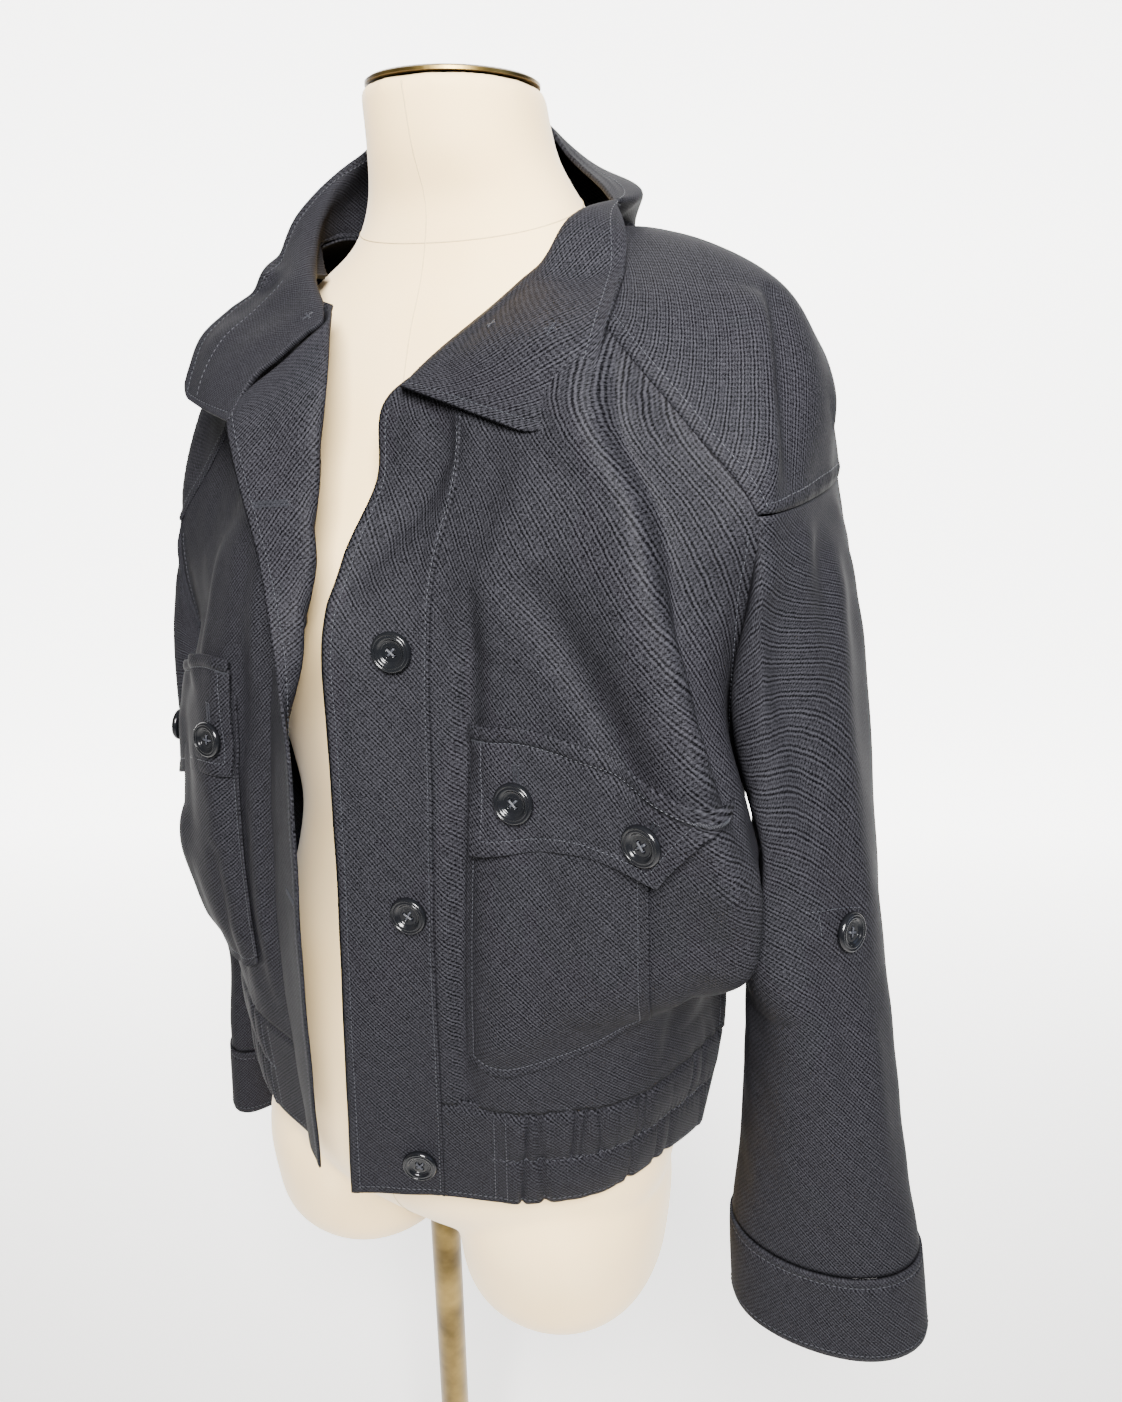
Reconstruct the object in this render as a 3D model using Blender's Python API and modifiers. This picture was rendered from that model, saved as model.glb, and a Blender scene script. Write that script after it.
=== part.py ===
"""Utility jacket on a dress form.

A short black jacket with a wide collar, dropped sleeves, patch pockets and an elastic hem band stands open
on a limbless dress form with a brass pole and a round base. Metres, +Z up, the wearer faces -Y, the wearer's
left is +X. The origin is the centre of the base's underside.
"""

import math

import bpy
import numpy as np
from mathutils import Matrix, Vector

# ---------------------------------------------------------------- driving dimensions

CLOTH = 0.0018  # wall of one cloth piece
LAYER_GAP = 0.0012  # air between a piece and the panel that it lies on
SEAM_GAP = 0.0004  # half the air between two pieces that meet edge to edge
SEAM_INSET = 0.0014  # how far a piece stops short of a seam where the cloth turns
COLLAR_CLOTH = 0.0028  # two layers and their interlining

HEM = 0.683  # heights above the floor
BAND_TOP = 0.765
UNDERARM = 0.955
SHOULDER_POINT = 1.136
NECK_SEAM = 1.245

PLACKET_WIDTH = 0.062
BUTTON_RADIUS = 0.0115
BUTTON_THICKNESS = 0.0042
BUTTON_STANDOFF = 0.0007  # thread between a button and the cloth

GATHER_SPACING = 0.0165  # waves of the elastic hem band
GATHER_DEPTH = 0.0022
FLAT_END = 0.036  # the band lies flat for this far beside each placket

POLE_RADIUS = 0.0115
BASE_RADIUS = 0.150
BASE_THICKNESS = 0.012
BASE_BEVEL = 0.004
NECK_TOP = 1.350
NECK_CAP_RADIUS = 0.050
FORM_CLEARANCE = 0.0006  # from the form's skin to the inside of any cloth

CLOTH_BLACK = "#26272b"
BUTTON_BLACK = "#141518"
FORM_CREAM = "#efe3cd"
BRASS = "#8a7443"

MM = 0.001
TINY = 1e-6  # for comparing heights
BODY_AXIS = np.array([0.0, 0.06, 0.95])  # a point well inside the torso
PLAIN_COLUMNS = ("station", "turn")  # a share and degrees; every other column is in millimetres


def table(columns, *rows):
    """A dictionary with one array for each named column, lengths turned from millimetres to metres."""
    named = dict(zip(columns.split(), np.array(rows, float).T))
    return {name: values if name in PLAIN_COLUMNS else values * MM for name, values in named.items()}


def points_of(sections, *names):
    """Sections as an array (row, point, xyz) from columns called NAME_x, NAME_y and NAME_z."""
    return np.stack([np.stack([sections[f"{name}_{axis}"] for axis in "xyz"], -1) for name in names], 1)


# The left front hangs forward of the form and turns back sharply along one long crease (fold).
# Each row is one level of the cloth, from the front edge to the side, armhole or raglan seam.
LEFT_FRONT = table(
    "height edge_x edge_y edge_z band_x band_y band_z chest_x chest_y chest_z "
    "fold_x fold_y fold_z seam_x seam_y seam_z",
    (683, 2, -106, 683, 59, -80, 683, 106, -62, 683, 150, -26, 683, 186, 60, 683),
    (765, 4, -104, 765, 62, -85, 765, 114, -72, 768, 170, -32, 772, 198, 55, 775),
    (840, 4, -100, 836, 63, -87, 838, 116, -80, 840, 188, -37, 842, 198, 50, 846),
    (870, 4, -98, 868, 63, -87, 869, 118, -82, 871, 216, -48, 872, 204, 49, 876),
    (900, 4, -96, 900, 64, -86, 900, 120, -82, 902, 233, -54, 900, 205, 48, 905),
    (955, 4, -94, 958, 64, -82, 958, 122, -80, 958, 237, -64, 954, 203, 46, 955),
    (964, 4, -94, 966, 64, -81, 966, 122, -80, 966, 236, -65, 963, 203, 36, 964),
    (1010, 3, -92, 1010, 64, -77, 1010, 120, -77, 1008, 226, -70, 1006, 202, 10, 1005),
    (1060, 3, -89, 1060, 64, -74, 1060, 114, -75, 1060, 206, -72, 1056, 211, -14, 1052),
    (1100, 4, -70, 1099, 62, -68, 1100, 105, -73, 1100, 190, -71, 1098, 220, -30, 1096),
    (1136, 12, -44, 1138, 58, -53, 1140, 98, -64, 1140, 172, -66, 1139, 226, -42, 1137),
    (1175, 14, -36, 1178, 50, -43, 1176, 86, -53, 1176, 150, -58, 1178, 190, -42, 1177),
    (1210, 44, -26, 1202, 64, -32, 1204, 88, -40, 1206, 122, -44, 1209, 151, -34, 1212),
    (1245, 82, 10, 1240, 87, 4, 1240, 92, 2, 1241, 98, 4, 1242, 103, 10, 1243),
)

# The right front lies closer to the form. It starts at its placket's seam (line).
RIGHT_FRONT = table(
    "height line_x line_y line_z chest_x chest_y chest_z side_x side_y side_z seam_x seam_y seam_z",
    (683, -56, -78, 683, -102, -62, 683, -158, -16, 683, -186, 60, 683),
    (765, -57, -82, 765, -106, -66, 767, -162, -20, 771, -196, 55, 775),
    (840, -58, -82, 840, -113, -70, 842, -176, -30, 842, -200, 50, 846),
    (870, -58, -81, 870, -116, -70, 871, -182, -32, 871, -202, 48, 876),
    (900, -58, -80, 900, -116, -69, 900, -181, -30, 901, -202, 46, 905),
    (955, -56, -77, 955, -115, -66, 955, -177, -28, 955, -198, 42, 955),
    (964, -55, -76, 964, -114, -65, 964, -176, -28, 964, -198, 36, 960),
    (1010, -53, -72, 1010, -109, -61, 1008, -168, -25, 1000, -200, 28, 988),
    (1060, -47, -66, 1060, -102, -53, 1056, -156, -18, 1040, -204, 18, 1022),
    (1100, -43, -57, 1100, -92, -48, 1094, -144, -20, 1072, -204, 12, 1056),
    (1136, -40, -47, 1138, -80, -40, 1130, -124, -18, 1108, -198, 10, 1090),
    (1175, -38, -36, 1176, -68, -30, 1168, -98, -14, 1150, -158, 4, 1132),
    (1210, -38, -24, 1204, -58, -20, 1200, -78, -8, 1190, -126, 2, 1172),
    (1245, -46, 0, 1230, -58, 2, 1233, -76, 8, 1238, -103, 14, 1243),
)

# The back, from the wearer's left seam to the right one. Up to the underarm it meets the fronts' side seams.
BACK = table(
    "height left_x left_y left_z blade_x blade_y blade_z centre_x centre_y centre_z",
    (683, 186, 60, 683, 120, 136, 683, 0, 158, 683),
    (765, 198, 55, 775, 132, 148, 768, 0, 172, 765),
    (840, 198, 50, 846, 140, 160, 843, 0, 186, 840),
    (870, 204, 49, 876, 143, 163, 872, 0, 189, 870),
    (900, 205, 48, 905, 145, 166, 902, 0, 192, 900),
    (955, 203, 46, 955, 146, 168, 958, 0, 194, 960),
    (964, 203, 56, 964, 146, 168, 966, 0, 194, 968),
    (1010, 202, 92, 1005, 142, 170, 1010, 0, 195, 1010),
    (1060, 205, 124, 1054, 140, 172, 1060, 0, 194, 1060),
    (1100, 209, 142, 1100, 136, 174, 1104, 0, 193, 1105),
    (1136, 213, 150, 1136, 130, 174, 1145, 0, 190, 1150),
    (1175, 178, 155, 1180, 108, 172, 1190, 0, 184, 1195),
    (1210, 134, 153, 1222, 82, 165, 1230, 0, 175, 1236),
    (1245, 80, 138, 1268, 46, 152, 1276, 0, 160, 1280),
)

# The shoulder's ridge from the neck to the dropped seam, evenly spaced along the raglan seams.
LEFT_RIDGE = table(
    "ridge_x ridge_y ridge_z",
    (92, 72, 1270),
    (138, 70, 1264),
    (180, 66, 1249),
    (208, 62, 1228),
    (228, 58, 1188),
    (234, 56, 1136),
)
RIGHT_RIDGE = table(
    "ridge_x ridge_y ridge_z",
    (-92, 72, 1268),
    (-126, 76, 1258),
    (-160, 78, 1236),
    (-190, 80, 1212),
    (-220, 82, 1170),
    (-236, 84, 1108),
)

# Sleeve rings: flat tubes, half_out across the arm and half_deep fore and aft, turned about Z. tilt raises
# the outer side over the inner one.
LEFT_SLEEVE = table(
    "height centre_x centre_y half_out half_deep turn tilt",
    (1000, 235, 58, 21, 84, 0, 55),
    (920, 247, 50, 32, 74, 0, 20),
    (830, 261, 40, 42, 60, 5, 0),
    (720, 276, 30, 52, 44, 8, 0),
    (668, 283, 25, 59, 39, 10, 0),
    (605, 292, 22, 62, 37, 10, 0),
)
RIGHT_SLEEVE = table(
    "height centre_x centre_y half_out half_deep turn tilt",
    (990, -222, 92, 23, 76, 0, 45),
    (920, -231, 88, 26, 72, 0, 12),
    (830, -235, 88, 29, 68, 0, 0),
    (720, -230, 94, 28, 62, 0, 0),
    (615, -230, 84, 28, 62, 0, 0),
    (552, -231, 80, 28, 62, 0, 0),
)
CUFF_RINGS = 2  # the two lowest rings of each sleeve bound its cuff

# The right placket is turned out above the break: its seam (attach), where it turns (roll), its free edge.
RIGHT_PLACKET = table(
    "height attach_x attach_y attach_z roll_x roll_y roll_z edge_x edge_y edge_z",
    (683, -56, -78, 683, -41, -91, 686, -24, -104, 690),
    (765, -57, -82, 765, -37, -98, 765, -16, -111, 765),
    (840, -58, -82, 840, -35, -99, 840, -12, -114, 840),
    (930, -57, -79, 930, -33, -96, 930, -10, -111, 930),
    (1000, -54, -73, 1000, -27, -93, 1000, -12, -106, 1000),
    (1055, -48, -67, 1055, -12, -88, 1052, -22, -101, 1055),
    (1100, -43, -57, 1100, -13, -72, 1098, -42, -84, 1095),
    (1140, -40, -47, 1140, -16, -60, 1140, -62, -72, 1134),
    (1180, -38, -36, 1180, -17, -47, 1186, -76, -62, 1164),
    (1230, -42, -6, 1230, -28, -28, 1220, -78, -58, 1174),
)

# The collar from the wearer's right tip round the neck to the left tip. seam is set on the neckline nearby,
# roll is where the collar turns over, edge is its free edge.
COLLAR = table(
    "station seam_x seam_y seam_z roll_x roll_y roll_z edge_x edge_y edge_z",
    (0.00, -80, -57, 1177, -106, -49, 1176, -134, -36, 1178),
    (0.06, -66, -48, 1190, -100, -40, 1191, -136, -26, 1193),
    (0.13, -52, -40, 1202, -92, -28, 1208, -137, -12, 1211),
    (0.20, -40, -33, 1213, -78, -14, 1224, -127, 3, 1226),
    (0.27, -32, -24, 1223, -68, -2, 1242, -105, 18, 1245),
    (0.34, -64, 8, 1242, -78, 24, 1262, -101, 44, 1282),
    (0.42, -93, 58, 1268, -90, 64, 1288, -80, 82, 1318),
    (0.50, -84, 120, 1278, -80, 122, 1304, -56, 116, 1340),
    (0.58, 0, 164, 1285, 0, 167, 1314, 0, 142, 1350),
    (0.66, 82, 132, 1276, 86, 120, 1296, 57, 103, 1310),
    (0.73, 97, 76, 1274, 109, 80, 1284, 99, 62, 1286),
    (0.80, 100, 22, 1250, 99, 19, 1270, 127, 26, 1262),
    (0.86, 70, -8, 1224, 78, -16, 1229, 138, -4, 1232),
    (0.92, 45, -28, 1200, 54, -34, 1206, 145, -40, 1202),
    (0.97, 27, -37, 1186, 36, -42, 1190, 144, -60, 1182),
    (1.00, 17, -40, 1182, 22, -46, 1185, 128, -68, 1168),
)

# The form's rings, neck first: half width, and where the front and the back of the ring stand.
TORSO = table(
    "height half_width front back",
    (1344, 51, 14, 118),
    (1310, 56, 22, 128),
    (1284, 69, 33, 141),
    (1262, 84, 31, 147),
    (1240, 116, 24, 150),
    (1215, 142, 12, 160),
    (1180, 158, 0, 167),
    (1130, 157, -18, 169),
    (1080, 150, -38, 160),
    (1040, 146, -47, 133),
    (990, 136, -43, 118),
    (940, 124, -34, 104),
    (900, 118, -32, 99),
    (850, 128, -40, 106),
    (790, 150, -54, 122),
    (730, 165, -64, 134),
    (680, 170, -67, 138),
    (640, 166, -62, 133),
    (608, 142, -46, 114),
    (585, 92, -26, 86),
)
THIGH = table(
    "height half_width front back",
    (670, 70, -40, 110),
    (620, 78, -54, 124),
    (574, 77, -52, 122),
    (546, 73, -46, 115),
    (528, 62, -32, 101),
    (518, 40, -8, 77),
)
THIGH_CENTRE_X = 0.089

# Folds: troughs (depth below 0) and ridges of a panel, measured along the cloth from its first edge.
LEFT_FOLDS = table(
    "start_across start_height end_across end_height width depth",
    (84, 1100, 72, 760, 12, -4.5),
    (135, 1100, 190, 1026, 20, -5),
    (60, 1150, 20, 1060, 16, -4),
    (240, 930, 232, 800, 12, 4),
)
RIGHT_FOLDS = table(
    "start_across start_height end_across end_height width depth",
    (30, 1050, 36, 800, 13, -5),
    (110, 1060, 100, 900, 18, -4),
    (120, 900, 110, 790, 13, 4),
)
BACK_FOLDS = table(
    "start_across start_height end_across end_height width depth",
    (90, 1120, 120, 800, 20, -5),
    (230, 1000, 236, 790, 18, 5),
    (380, 1110, 350, 800, 22, -5),
)
NO_FOLDS = {"width": [], "depth": []}

# Corners on a front, in the order upper inner, upper outer, lower inner, lower outer.
LEFT_POCKET = table("across height", (84, 1000), (192, 1000), (82, 802), (190, 852))
LEFT_FLAP = table("across height", (88, 1018), (226, 1004), (93, 946), (200, 958))
RIGHT_POCKET = table("across height", (37, 1004), (145, 988), (31, 806), (139, 796))
RIGHT_FLAP = table("across height", (40, 1024), (178, 998), (37, 945), (150, 908))
FLAP_BOW = 0.008  # the middle of each pocket and flap lies this much higher than its ends
PLACKET_BUTTONS = table("across height", (41, 1055), (47, 900), (47, 713))
LEFT_FLAP_BUTTONS = table("across height", (117, 985), (192, 982))
RIGHT_FLAP_BUTTONS = table("across height", (64, 971), (140, 950))
LEFT_SLEEVE_BUTTON = {"around": 0.12, "down": 0.243}
RIGHT_SLEEVE_BUTTON = {"around": 0.19, "down": 0.243}  # this sleeve hangs turned further out
SLEEVE_SAG = 0.0003  # a sleeve's flat faces lie about this far inside its smooth surface


# ---------------------------------------------------------------- shape functions


def spline_weights(knots, at):
    """For each position, four neighbouring knots and their weights on the smooth curve through them."""
    last = len(knots) - 1
    start = np.clip(np.searchsorted(knots, at, "right") - 1, 0, last - 1)
    index = np.clip(start[..., None] + np.arange(-1, 3), 0, last)
    t0, t1, t2, t3 = np.moveaxis(knots[index], -1, 0)
    span = t2 - t1
    s = (at - t1) / span
    rise_1 = s * (1 - s) ** 2 * span / (t2 - t0)
    rise_2 = s**2 * (s - 1) * span / (t3 - t1)
    blend = s * s * (3 - 2 * s)
    weights = np.stack([-rise_1, 1 - blend - rise_2, blend + rise_1, rise_2], -1)
    return index, weights


def curve_at(knots, values, at):
    """Points of the smooth curve through values at knots."""
    index, weights = spline_weights(np.asarray(knots, float), np.asarray(at, float))
    return np.einsum("...k,...kc->...c", weights, np.asarray(values, float)[index])


def even(points, count):
    """The smooth curve through the points as count points, evenly spaced along it."""
    steps = np.linalg.norm(np.diff(points, axis=0), axis=1)
    knots = np.concatenate([[0.0], np.cumsum(steps)])
    fine = curve_at(knots, points, np.linspace(0, knots[-1], 12 * len(points)))
    along = np.concatenate([[0.0], np.cumsum(np.linalg.norm(np.diff(fine, axis=0), axis=1))])
    wanted = np.linspace(0, along[-1], count)
    return np.stack([np.interp(wanted, along, fine[:, axis]) for axis in range(3)], -1)


class Surface:
    """A smooth surface through sections. across runs 0 to 1 along a section, along is the sections' own scale.

    facing is 1 where across x along points out of the cloth, and -1 where it points in.
    """

    def __init__(self, along, sections, facing=1, samples=41):
        self.along = np.asarray(along, float)
        self.grid = np.array([even(section, samples) for section in sections])
        self.across = np.linspace(0, 1, self.grid.shape[1])
        self.facing = facing
        steps = np.linalg.norm(np.diff(self.grid, axis=1), axis=2)
        self.lengths = steps.sum(axis=1)

    def width(self, along):
        """Length of the section there, in metres."""
        return curve_at(self.along, self.lengths[:, None], along)[..., 0]

    def at(self, across, along):
        """Points at fractions across and positions along."""
        across, along = np.broadcast_arrays(np.asarray(across, float), np.asarray(along, float))
        row, row_weights = spline_weights(self.along, along)
        column, column_weights = spline_weights(self.across, across)
        chosen = self.grid[row[..., :, None], column[..., None, :]]
        return np.einsum("...r,...c,...rcx->...x", row_weights, column_weights, chosen)

    def normal(self, across, along):
        """Unit normals by differences, right-handed from across to along."""
        step_across = 0.004
        step_along = 0.004 * (self.along[-1] - self.along[0])
        low, high = self.along[0], self.along[-1]
        across_pair = np.clip(across + step_across, 0, 1), np.clip(across - step_across, 0, 1)
        along_pair = np.clip(along + step_along, low, high), np.clip(along - step_along, low, high)
        side = self.at(across_pair[0], along) - self.at(across_pair[1], along)
        up = self.at(across, along_pair[0]) - self.at(across, along_pair[1])
        cross = self.facing * np.cross(side, up)
        return cross / np.maximum(np.linalg.norm(cross, axis=-1, keepdims=True), 1e-9)


def fold_height(folds, across, height):
    """Sum of soft ridges and troughs: each falls off with distance from its line and fades at its ends."""
    total = np.zeros(np.broadcast(across, height).shape)
    for index in range(len(folds["width"])):
        start = np.array([folds["start_across"][index], folds["start_height"][index]])
        end = np.array([folds["end_across"][index], folds["end_height"][index]])
        run = end - start
        offset = np.stack(np.broadcast_arrays(across, height), -1) - start
        share = np.clip(offset @ run / (run @ run), 0, 1)
        distance = np.linalg.norm(offset - share[..., None] * run, axis=-1)
        fade = 1 - (2 * share - 1) ** 4
        total += folds["depth"][index] * fade * np.exp(-((distance / folds["width"][index]) ** 2))
    return total


def keep_outside(points, below, normals, gap, reach=1.0):
    """Move each point out along the nearest normal of the surface below until it stands gap clear of it.

    Points further than reach from the surface stay where they are.
    """
    flat = points.reshape(-1, 3)
    under = below.reshape(-1, 3)
    outward = normals.reshape(-1, 3)
    nearest = np.array([np.argmin(((under - point) ** 2).sum(axis=1)) for point in flat])
    offset = flat - under[nearest]
    height = (offset * outward[nearest]).sum(axis=1)
    beside = np.linalg.norm(offset - height[:, None] * outward[nearest], axis=1)
    push = np.where(beside < reach, np.maximum(np.ravel(gap) - height, 0), 0)
    return (flat + push[:, None] * outward[nearest]).reshape(points.shape)


def finer(points, times=6):
    """A panel's straight-sided faces as a dense array of points and normals that point away from the body."""
    rows, columns = points.shape[:2]
    down = np.linspace(0, rows - 1, (rows - 1) * times + 1)
    along = np.linspace(0, columns - 1, (columns - 1) * times + 1)
    low = np.minimum(down.astype(int), rows - 2)
    first = np.minimum(along.astype(int), columns - 2)
    part_down = (down - low)[:, None, None]
    part_along = (along - first)[None, :, None]
    upper = points[low][:, first] * (1 - part_along) + points[low][:, first + 1] * part_along
    lower = points[low + 1][:, first] * (1 - part_along) + points[low + 1][:, first + 1] * part_along
    dense = upper * (1 - part_down) + lower * part_down
    normals = np.cross(np.gradient(dense, axis=1), np.gradient(dense, axis=0))
    outward = np.sign((normals * (dense - BODY_AXIS)).sum())
    return dense, outward * normals / np.linalg.norm(normals, axis=-1, keepdims=True)


def ring_of(half_width, front, back, sides, power=2.0):
    """A closed superellipse in plan: half width in X, and the Y of its front and back."""
    angle = np.linspace(0, 2 * math.pi, sides, endpoint=False)
    middle, depth = (front + back) / 2, (back - front) / 2
    x = half_width * np.sign(np.cos(angle)) * np.abs(np.cos(angle)) ** (2 / power)
    y = middle + depth * np.sign(np.sin(angle)) * np.abs(np.sin(angle)) ** (2 / power)
    return x, y


def form_rings(rows, sides, steps, power, centre_x=0.0):
    """Rings of the form, top first, smooth from row to row, as an array (ring, point, xyz)."""
    keys = -rows["height"]
    heights = np.linspace(keys[0], keys[-1], steps)
    heights = np.sort(np.concatenate([heights, keys[[0, -1]]]))[1:-1]
    profile = np.stack([rows["half_width"], rows["front"], rows["back"]], -1)
    rings = []
    for key, (half_width, front, back) in zip(heights, curve_at(keys, profile, heights)):
        x, y = ring_of(half_width, front, back, sides, power)
        rings.append(np.stack([x + centre_x, y, np.full(sides, -key)], -1))
    return np.array(rings)


# ---------------------------------------------------------------- Blender helpers


def clear_scene():
    for stock in (bpy.data.objects, bpy.data.meshes, bpy.data.curves, bpy.data.materials):
        for item in list(stock):
            stock.remove(item)
    for group in list(bpy.data.collections):
        bpy.data.collections.remove(group)


def make_collection(name, hidden=False):
    group = bpy.data.collections.new(name)
    bpy.context.scene.collection.children.link(group)
    group.hide_render = hidden
    return group


def linear(hex_colour):
    """An sRGB hex colour as linear RGBA."""
    values = [int(hex_colour[i : i + 2], 16) / 255 for i in (1, 3, 5)]
    return [v / 12.92 if v <= 0.04045 else ((v + 0.055) / 1.055) ** 2.4 for v in values] + [1.0]


def make_material(name, colour, roughness, metallic=0.0):
    material = bpy.data.materials.new(name)
    material.use_nodes = True
    shader = material.node_tree.nodes["Principled BSDF"]
    shader.inputs["Base Color"].default_value = linear(colour)
    shader.inputs["Roughness"].default_value = roughness
    shader.inputs["Metallic"].default_value = metallic
    return material


def add_object(name, mesh, material, group):
    mesh.materials.append(material)
    part = bpy.data.objects.new(name, mesh)
    group.objects.link(part)
    return part


def grid_mesh(name, points, ring=False, caps=False):
    """A quad mesh over an array (row, column, xyz); ring joins the last column to the first."""
    rows, columns = points.shape[:2]
    index = np.arange(rows * columns).reshape(rows, columns)
    right = np.roll(index, -1, axis=1)
    if not ring:
        index, right = index[:, :-1], right[:, :-1]
    quads = np.stack([index[:-1], right[:-1], right[1:], index[1:]], -1).reshape(-1, 4).tolist()
    if caps:
        quads.append(list(range(columns))[::-1])
        quads.append(list(range((rows - 1) * columns, rows * columns)))
    mesh = bpy.data.meshes.new(name)
    mesh.from_pydata(points.reshape(-1, 3).tolist(), [], quads)
    mesh.shade_smooth()
    return mesh


def add_cloth(name, points, material, group, ring=False, thickness=CLOTH):
    """A cloth wall: an open grid of points with half the thickness on each side."""
    part = add_object(name, grid_mesh(name, points, ring), material, group)
    wall = part.modifiers.new("Cloth", "SOLIDIFY")
    wall.thickness = thickness
    wall.offset = 0.0
    return part


def add_turned(name, profile, material, group, steps):
    """A turned solid about Z from a profile of (radius, height), top to bottom."""
    mesh = bpy.data.meshes.new(name)
    vertices = [(radius, 0.0, height) for radius, height in profile]
    mesh.from_pydata(vertices, [(i, i + 1) for i in range(len(vertices) - 1)], [])
    part = add_object(name, mesh, material, group)
    turn = part.modifiers.new("Turn", "SCREW")
    turn.steps = steps
    turn.render_steps = steps
    turn.use_merge_vertices = True
    turn.merge_threshold = 0.0001
    turn.use_smooth_shade = True
    return part


def place_on(part, point, normal):
    """Stand a turned piece on a surface point with its axis along the normal."""
    turn = Vector((0, 0, 1)).rotation_difference(Vector(normal))
    part.matrix_world = Matrix.Translation(Vector(point)) @ turn.to_matrix().to_4x4()


# ---------------------------------------------------------------- jacket surfaces


SIDE_WORD = {1: "left", -1: "right"}  # the wearer's left is +X


def mirrored(points):
    return points * np.array([-1.0, 1.0, 1.0])


left_surface = Surface(LEFT_FRONT["height"], points_of(LEFT_FRONT, "edge", "band", "chest", "fold", "seam"))
right_surface = Surface(RIGHT_FRONT["height"], points_of(RIGHT_FRONT, "line", "chest", "side", "seam"), facing=-1)
turned_placket = Surface(RIGHT_PLACKET["height"], points_of(RIGHT_PLACKET, "attach", "roll", "edge"), facing=-1)


def back_sections():
    """The back's levels: left seam, blade, centre, right blade and the right front's or shoulder's seam."""
    left = points_of(BACK, "left", "blade", "centre")
    right = mirrored(left[:, [1, 0]])
    low = BACK["height"] < UNDERARM + TINY
    right[low, 1] = points_of(RIGHT_FRONT, "seam")[low, 0]
    return np.concatenate([left, right], axis=1)


back_surface = Surface(BACK["height"], back_sections())

form_torso = form_rings(TORSO, sides=28, steps=24, power=2.15)


def form_skin():
    """The torso's skin as dense points and outward normals, for keeping cloth clear of it."""
    rings = form_rings(TORSO, sides=96, steps=90, power=2.15)
    along = np.roll(rings, -1, axis=1) - np.roll(rings, 1, axis=1)
    down = np.gradient(rings, axis=0)
    normals = np.cross(down, along)
    return rings, normals / np.linalg.norm(normals, axis=-1, keepdims=True)


FORM_POINTS, FORM_NORMALS = form_skin()


def clear_of_form(points):
    return keep_outside(points, FORM_POINTS, FORM_NORMALS, FORM_CLEARANCE + CLOTH / 2)


def panel_points(surface, folds, across, height, lift=0.0):
    """Points of a front or back, folds included, at metres across and heights, moved out by lift."""
    share = across / surface.width(height)
    normal = surface.normal(share, height)
    rise = fold_height(folds, across, height) + lift
    return surface.at(share, height) + normal * rise[..., None], normal


def patch(surface, folds, left, right, low, high, columns, rows, lift=0.0):
    """A grid over part of a panel. left and right are metres across, and may be functions of the height."""
    heights = np.linspace(low, high, rows)
    share = np.linspace(0, 1, columns)
    start = np.array([left(h) if callable(left) else left for h in heights])
    end = np.array([right(h) if callable(right) else right for h in heights])
    across = start[:, None] + (end - start)[:, None] * share
    return panel_points(surface, folds, across, np.broadcast_to(heights[:, None], across.shape), lift)[0]


def arch(front, ridge, back, count=9):
    """Two quarter ellipses: up from the front point over the ridge point and down to the back point."""
    angle = np.linspace(0, math.pi / 2, count)[:, None]
    halves = []
    for end in (front, back):
        corner = np.array([end[0], ridge[1], end[2]])
        halves.append(corner + (end - corner) * np.cos(angle) + (ridge - corner) * np.sin(angle))
    return np.concatenate([halves[0], halves[1][-2::-1]])


def upper_seam(rows, name, count):
    """The raglan seam from the neck down to the shoulder point as count points."""
    heights = np.linspace(NECK_SEAM, SHOULDER_POINT, count)
    return curve_at(rows["height"], points_of(rows, name)[:, 0], heights)


def back_upper_seam(side, count):
    points = upper_seam(BACK, "left", count)
    return points if side > 0 else mirrored(points)


def shoulder_surface(side):
    """The raglan cap: one arch for each ridge point, from the neck to the dropped seam."""
    ridge = points_of(LEFT_RIDGE if side > 0 else RIGHT_RIDGE, "ridge")[:, 0]
    rows = LEFT_FRONT if side > 0 else RIGHT_FRONT
    fronts = upper_seam(rows, "seam", len(ridge))
    backs = back_upper_seam(side, len(ridge))
    sections = [arch(front, top, back) for front, top, back in zip(fronts, ridge, backs)]
    return Surface(np.linspace(0, 1, len(ridge)), sections, facing=-side)


def armhole_half(side):
    """The inner half of the sleeve's top ring: back shoulder point, down to the underarm, up to the front."""
    rows = LEFT_FRONT if side > 0 else RIGHT_FRONT
    heights = rows["height"]
    used = (heights > UNDERARM - TINY) & (heights < SHOULDER_POINT + TINY)
    front = points_of(rows, "seam")[used, 0]
    back = points_of(BACK, "left")[used, 0]
    if side < 0:
        back = mirrored(back)
    return np.concatenate([back[:0:-1], front])


def sleeve_surface(side):
    """The sleeve from its armhole ring to the cuff's edge; across starts at the front and runs over the outside."""
    rows = LEFT_SLEEVE if side > 0 else RIGHT_SLEEVE
    shoulder = shoulder_surface(side)
    outer = shoulder.grid[-1]
    rings = [np.concatenate([even(outer, 25), even(armhole_half(side), 25)[1:]])]
    angle = np.radians(np.linspace(-90, 270, 49))
    for index in range(len(rows["height"])):
        turn = side * math.radians(rows["turn"][index])
        x = side * rows["half_out"][index] * np.cos(angle)
        y = rows["half_deep"][index] * np.sin(angle)
        ring = np.stack(
            [
                rows["centre_x"][index] + x * math.cos(turn) - y * math.sin(turn),
                rows["centre_y"][index] + x * math.sin(turn) + y * math.cos(turn),
                rows["height"][index] + rows["tilt"][index] * np.cos(angle),
            ],
            -1,
        )
        rings.append(np.concatenate([even(ring[:25], 25), even(ring[24:], 25)[1:]]))
    down = np.concatenate([[0.0], SHOULDER_POINT - rows["height"]])
    surface = Surface(down, np.array(rings), facing=-side, samples=49)
    surface.grid = np.array(rings)
    return surface


# ---------------------------------------------------------------- build

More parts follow.
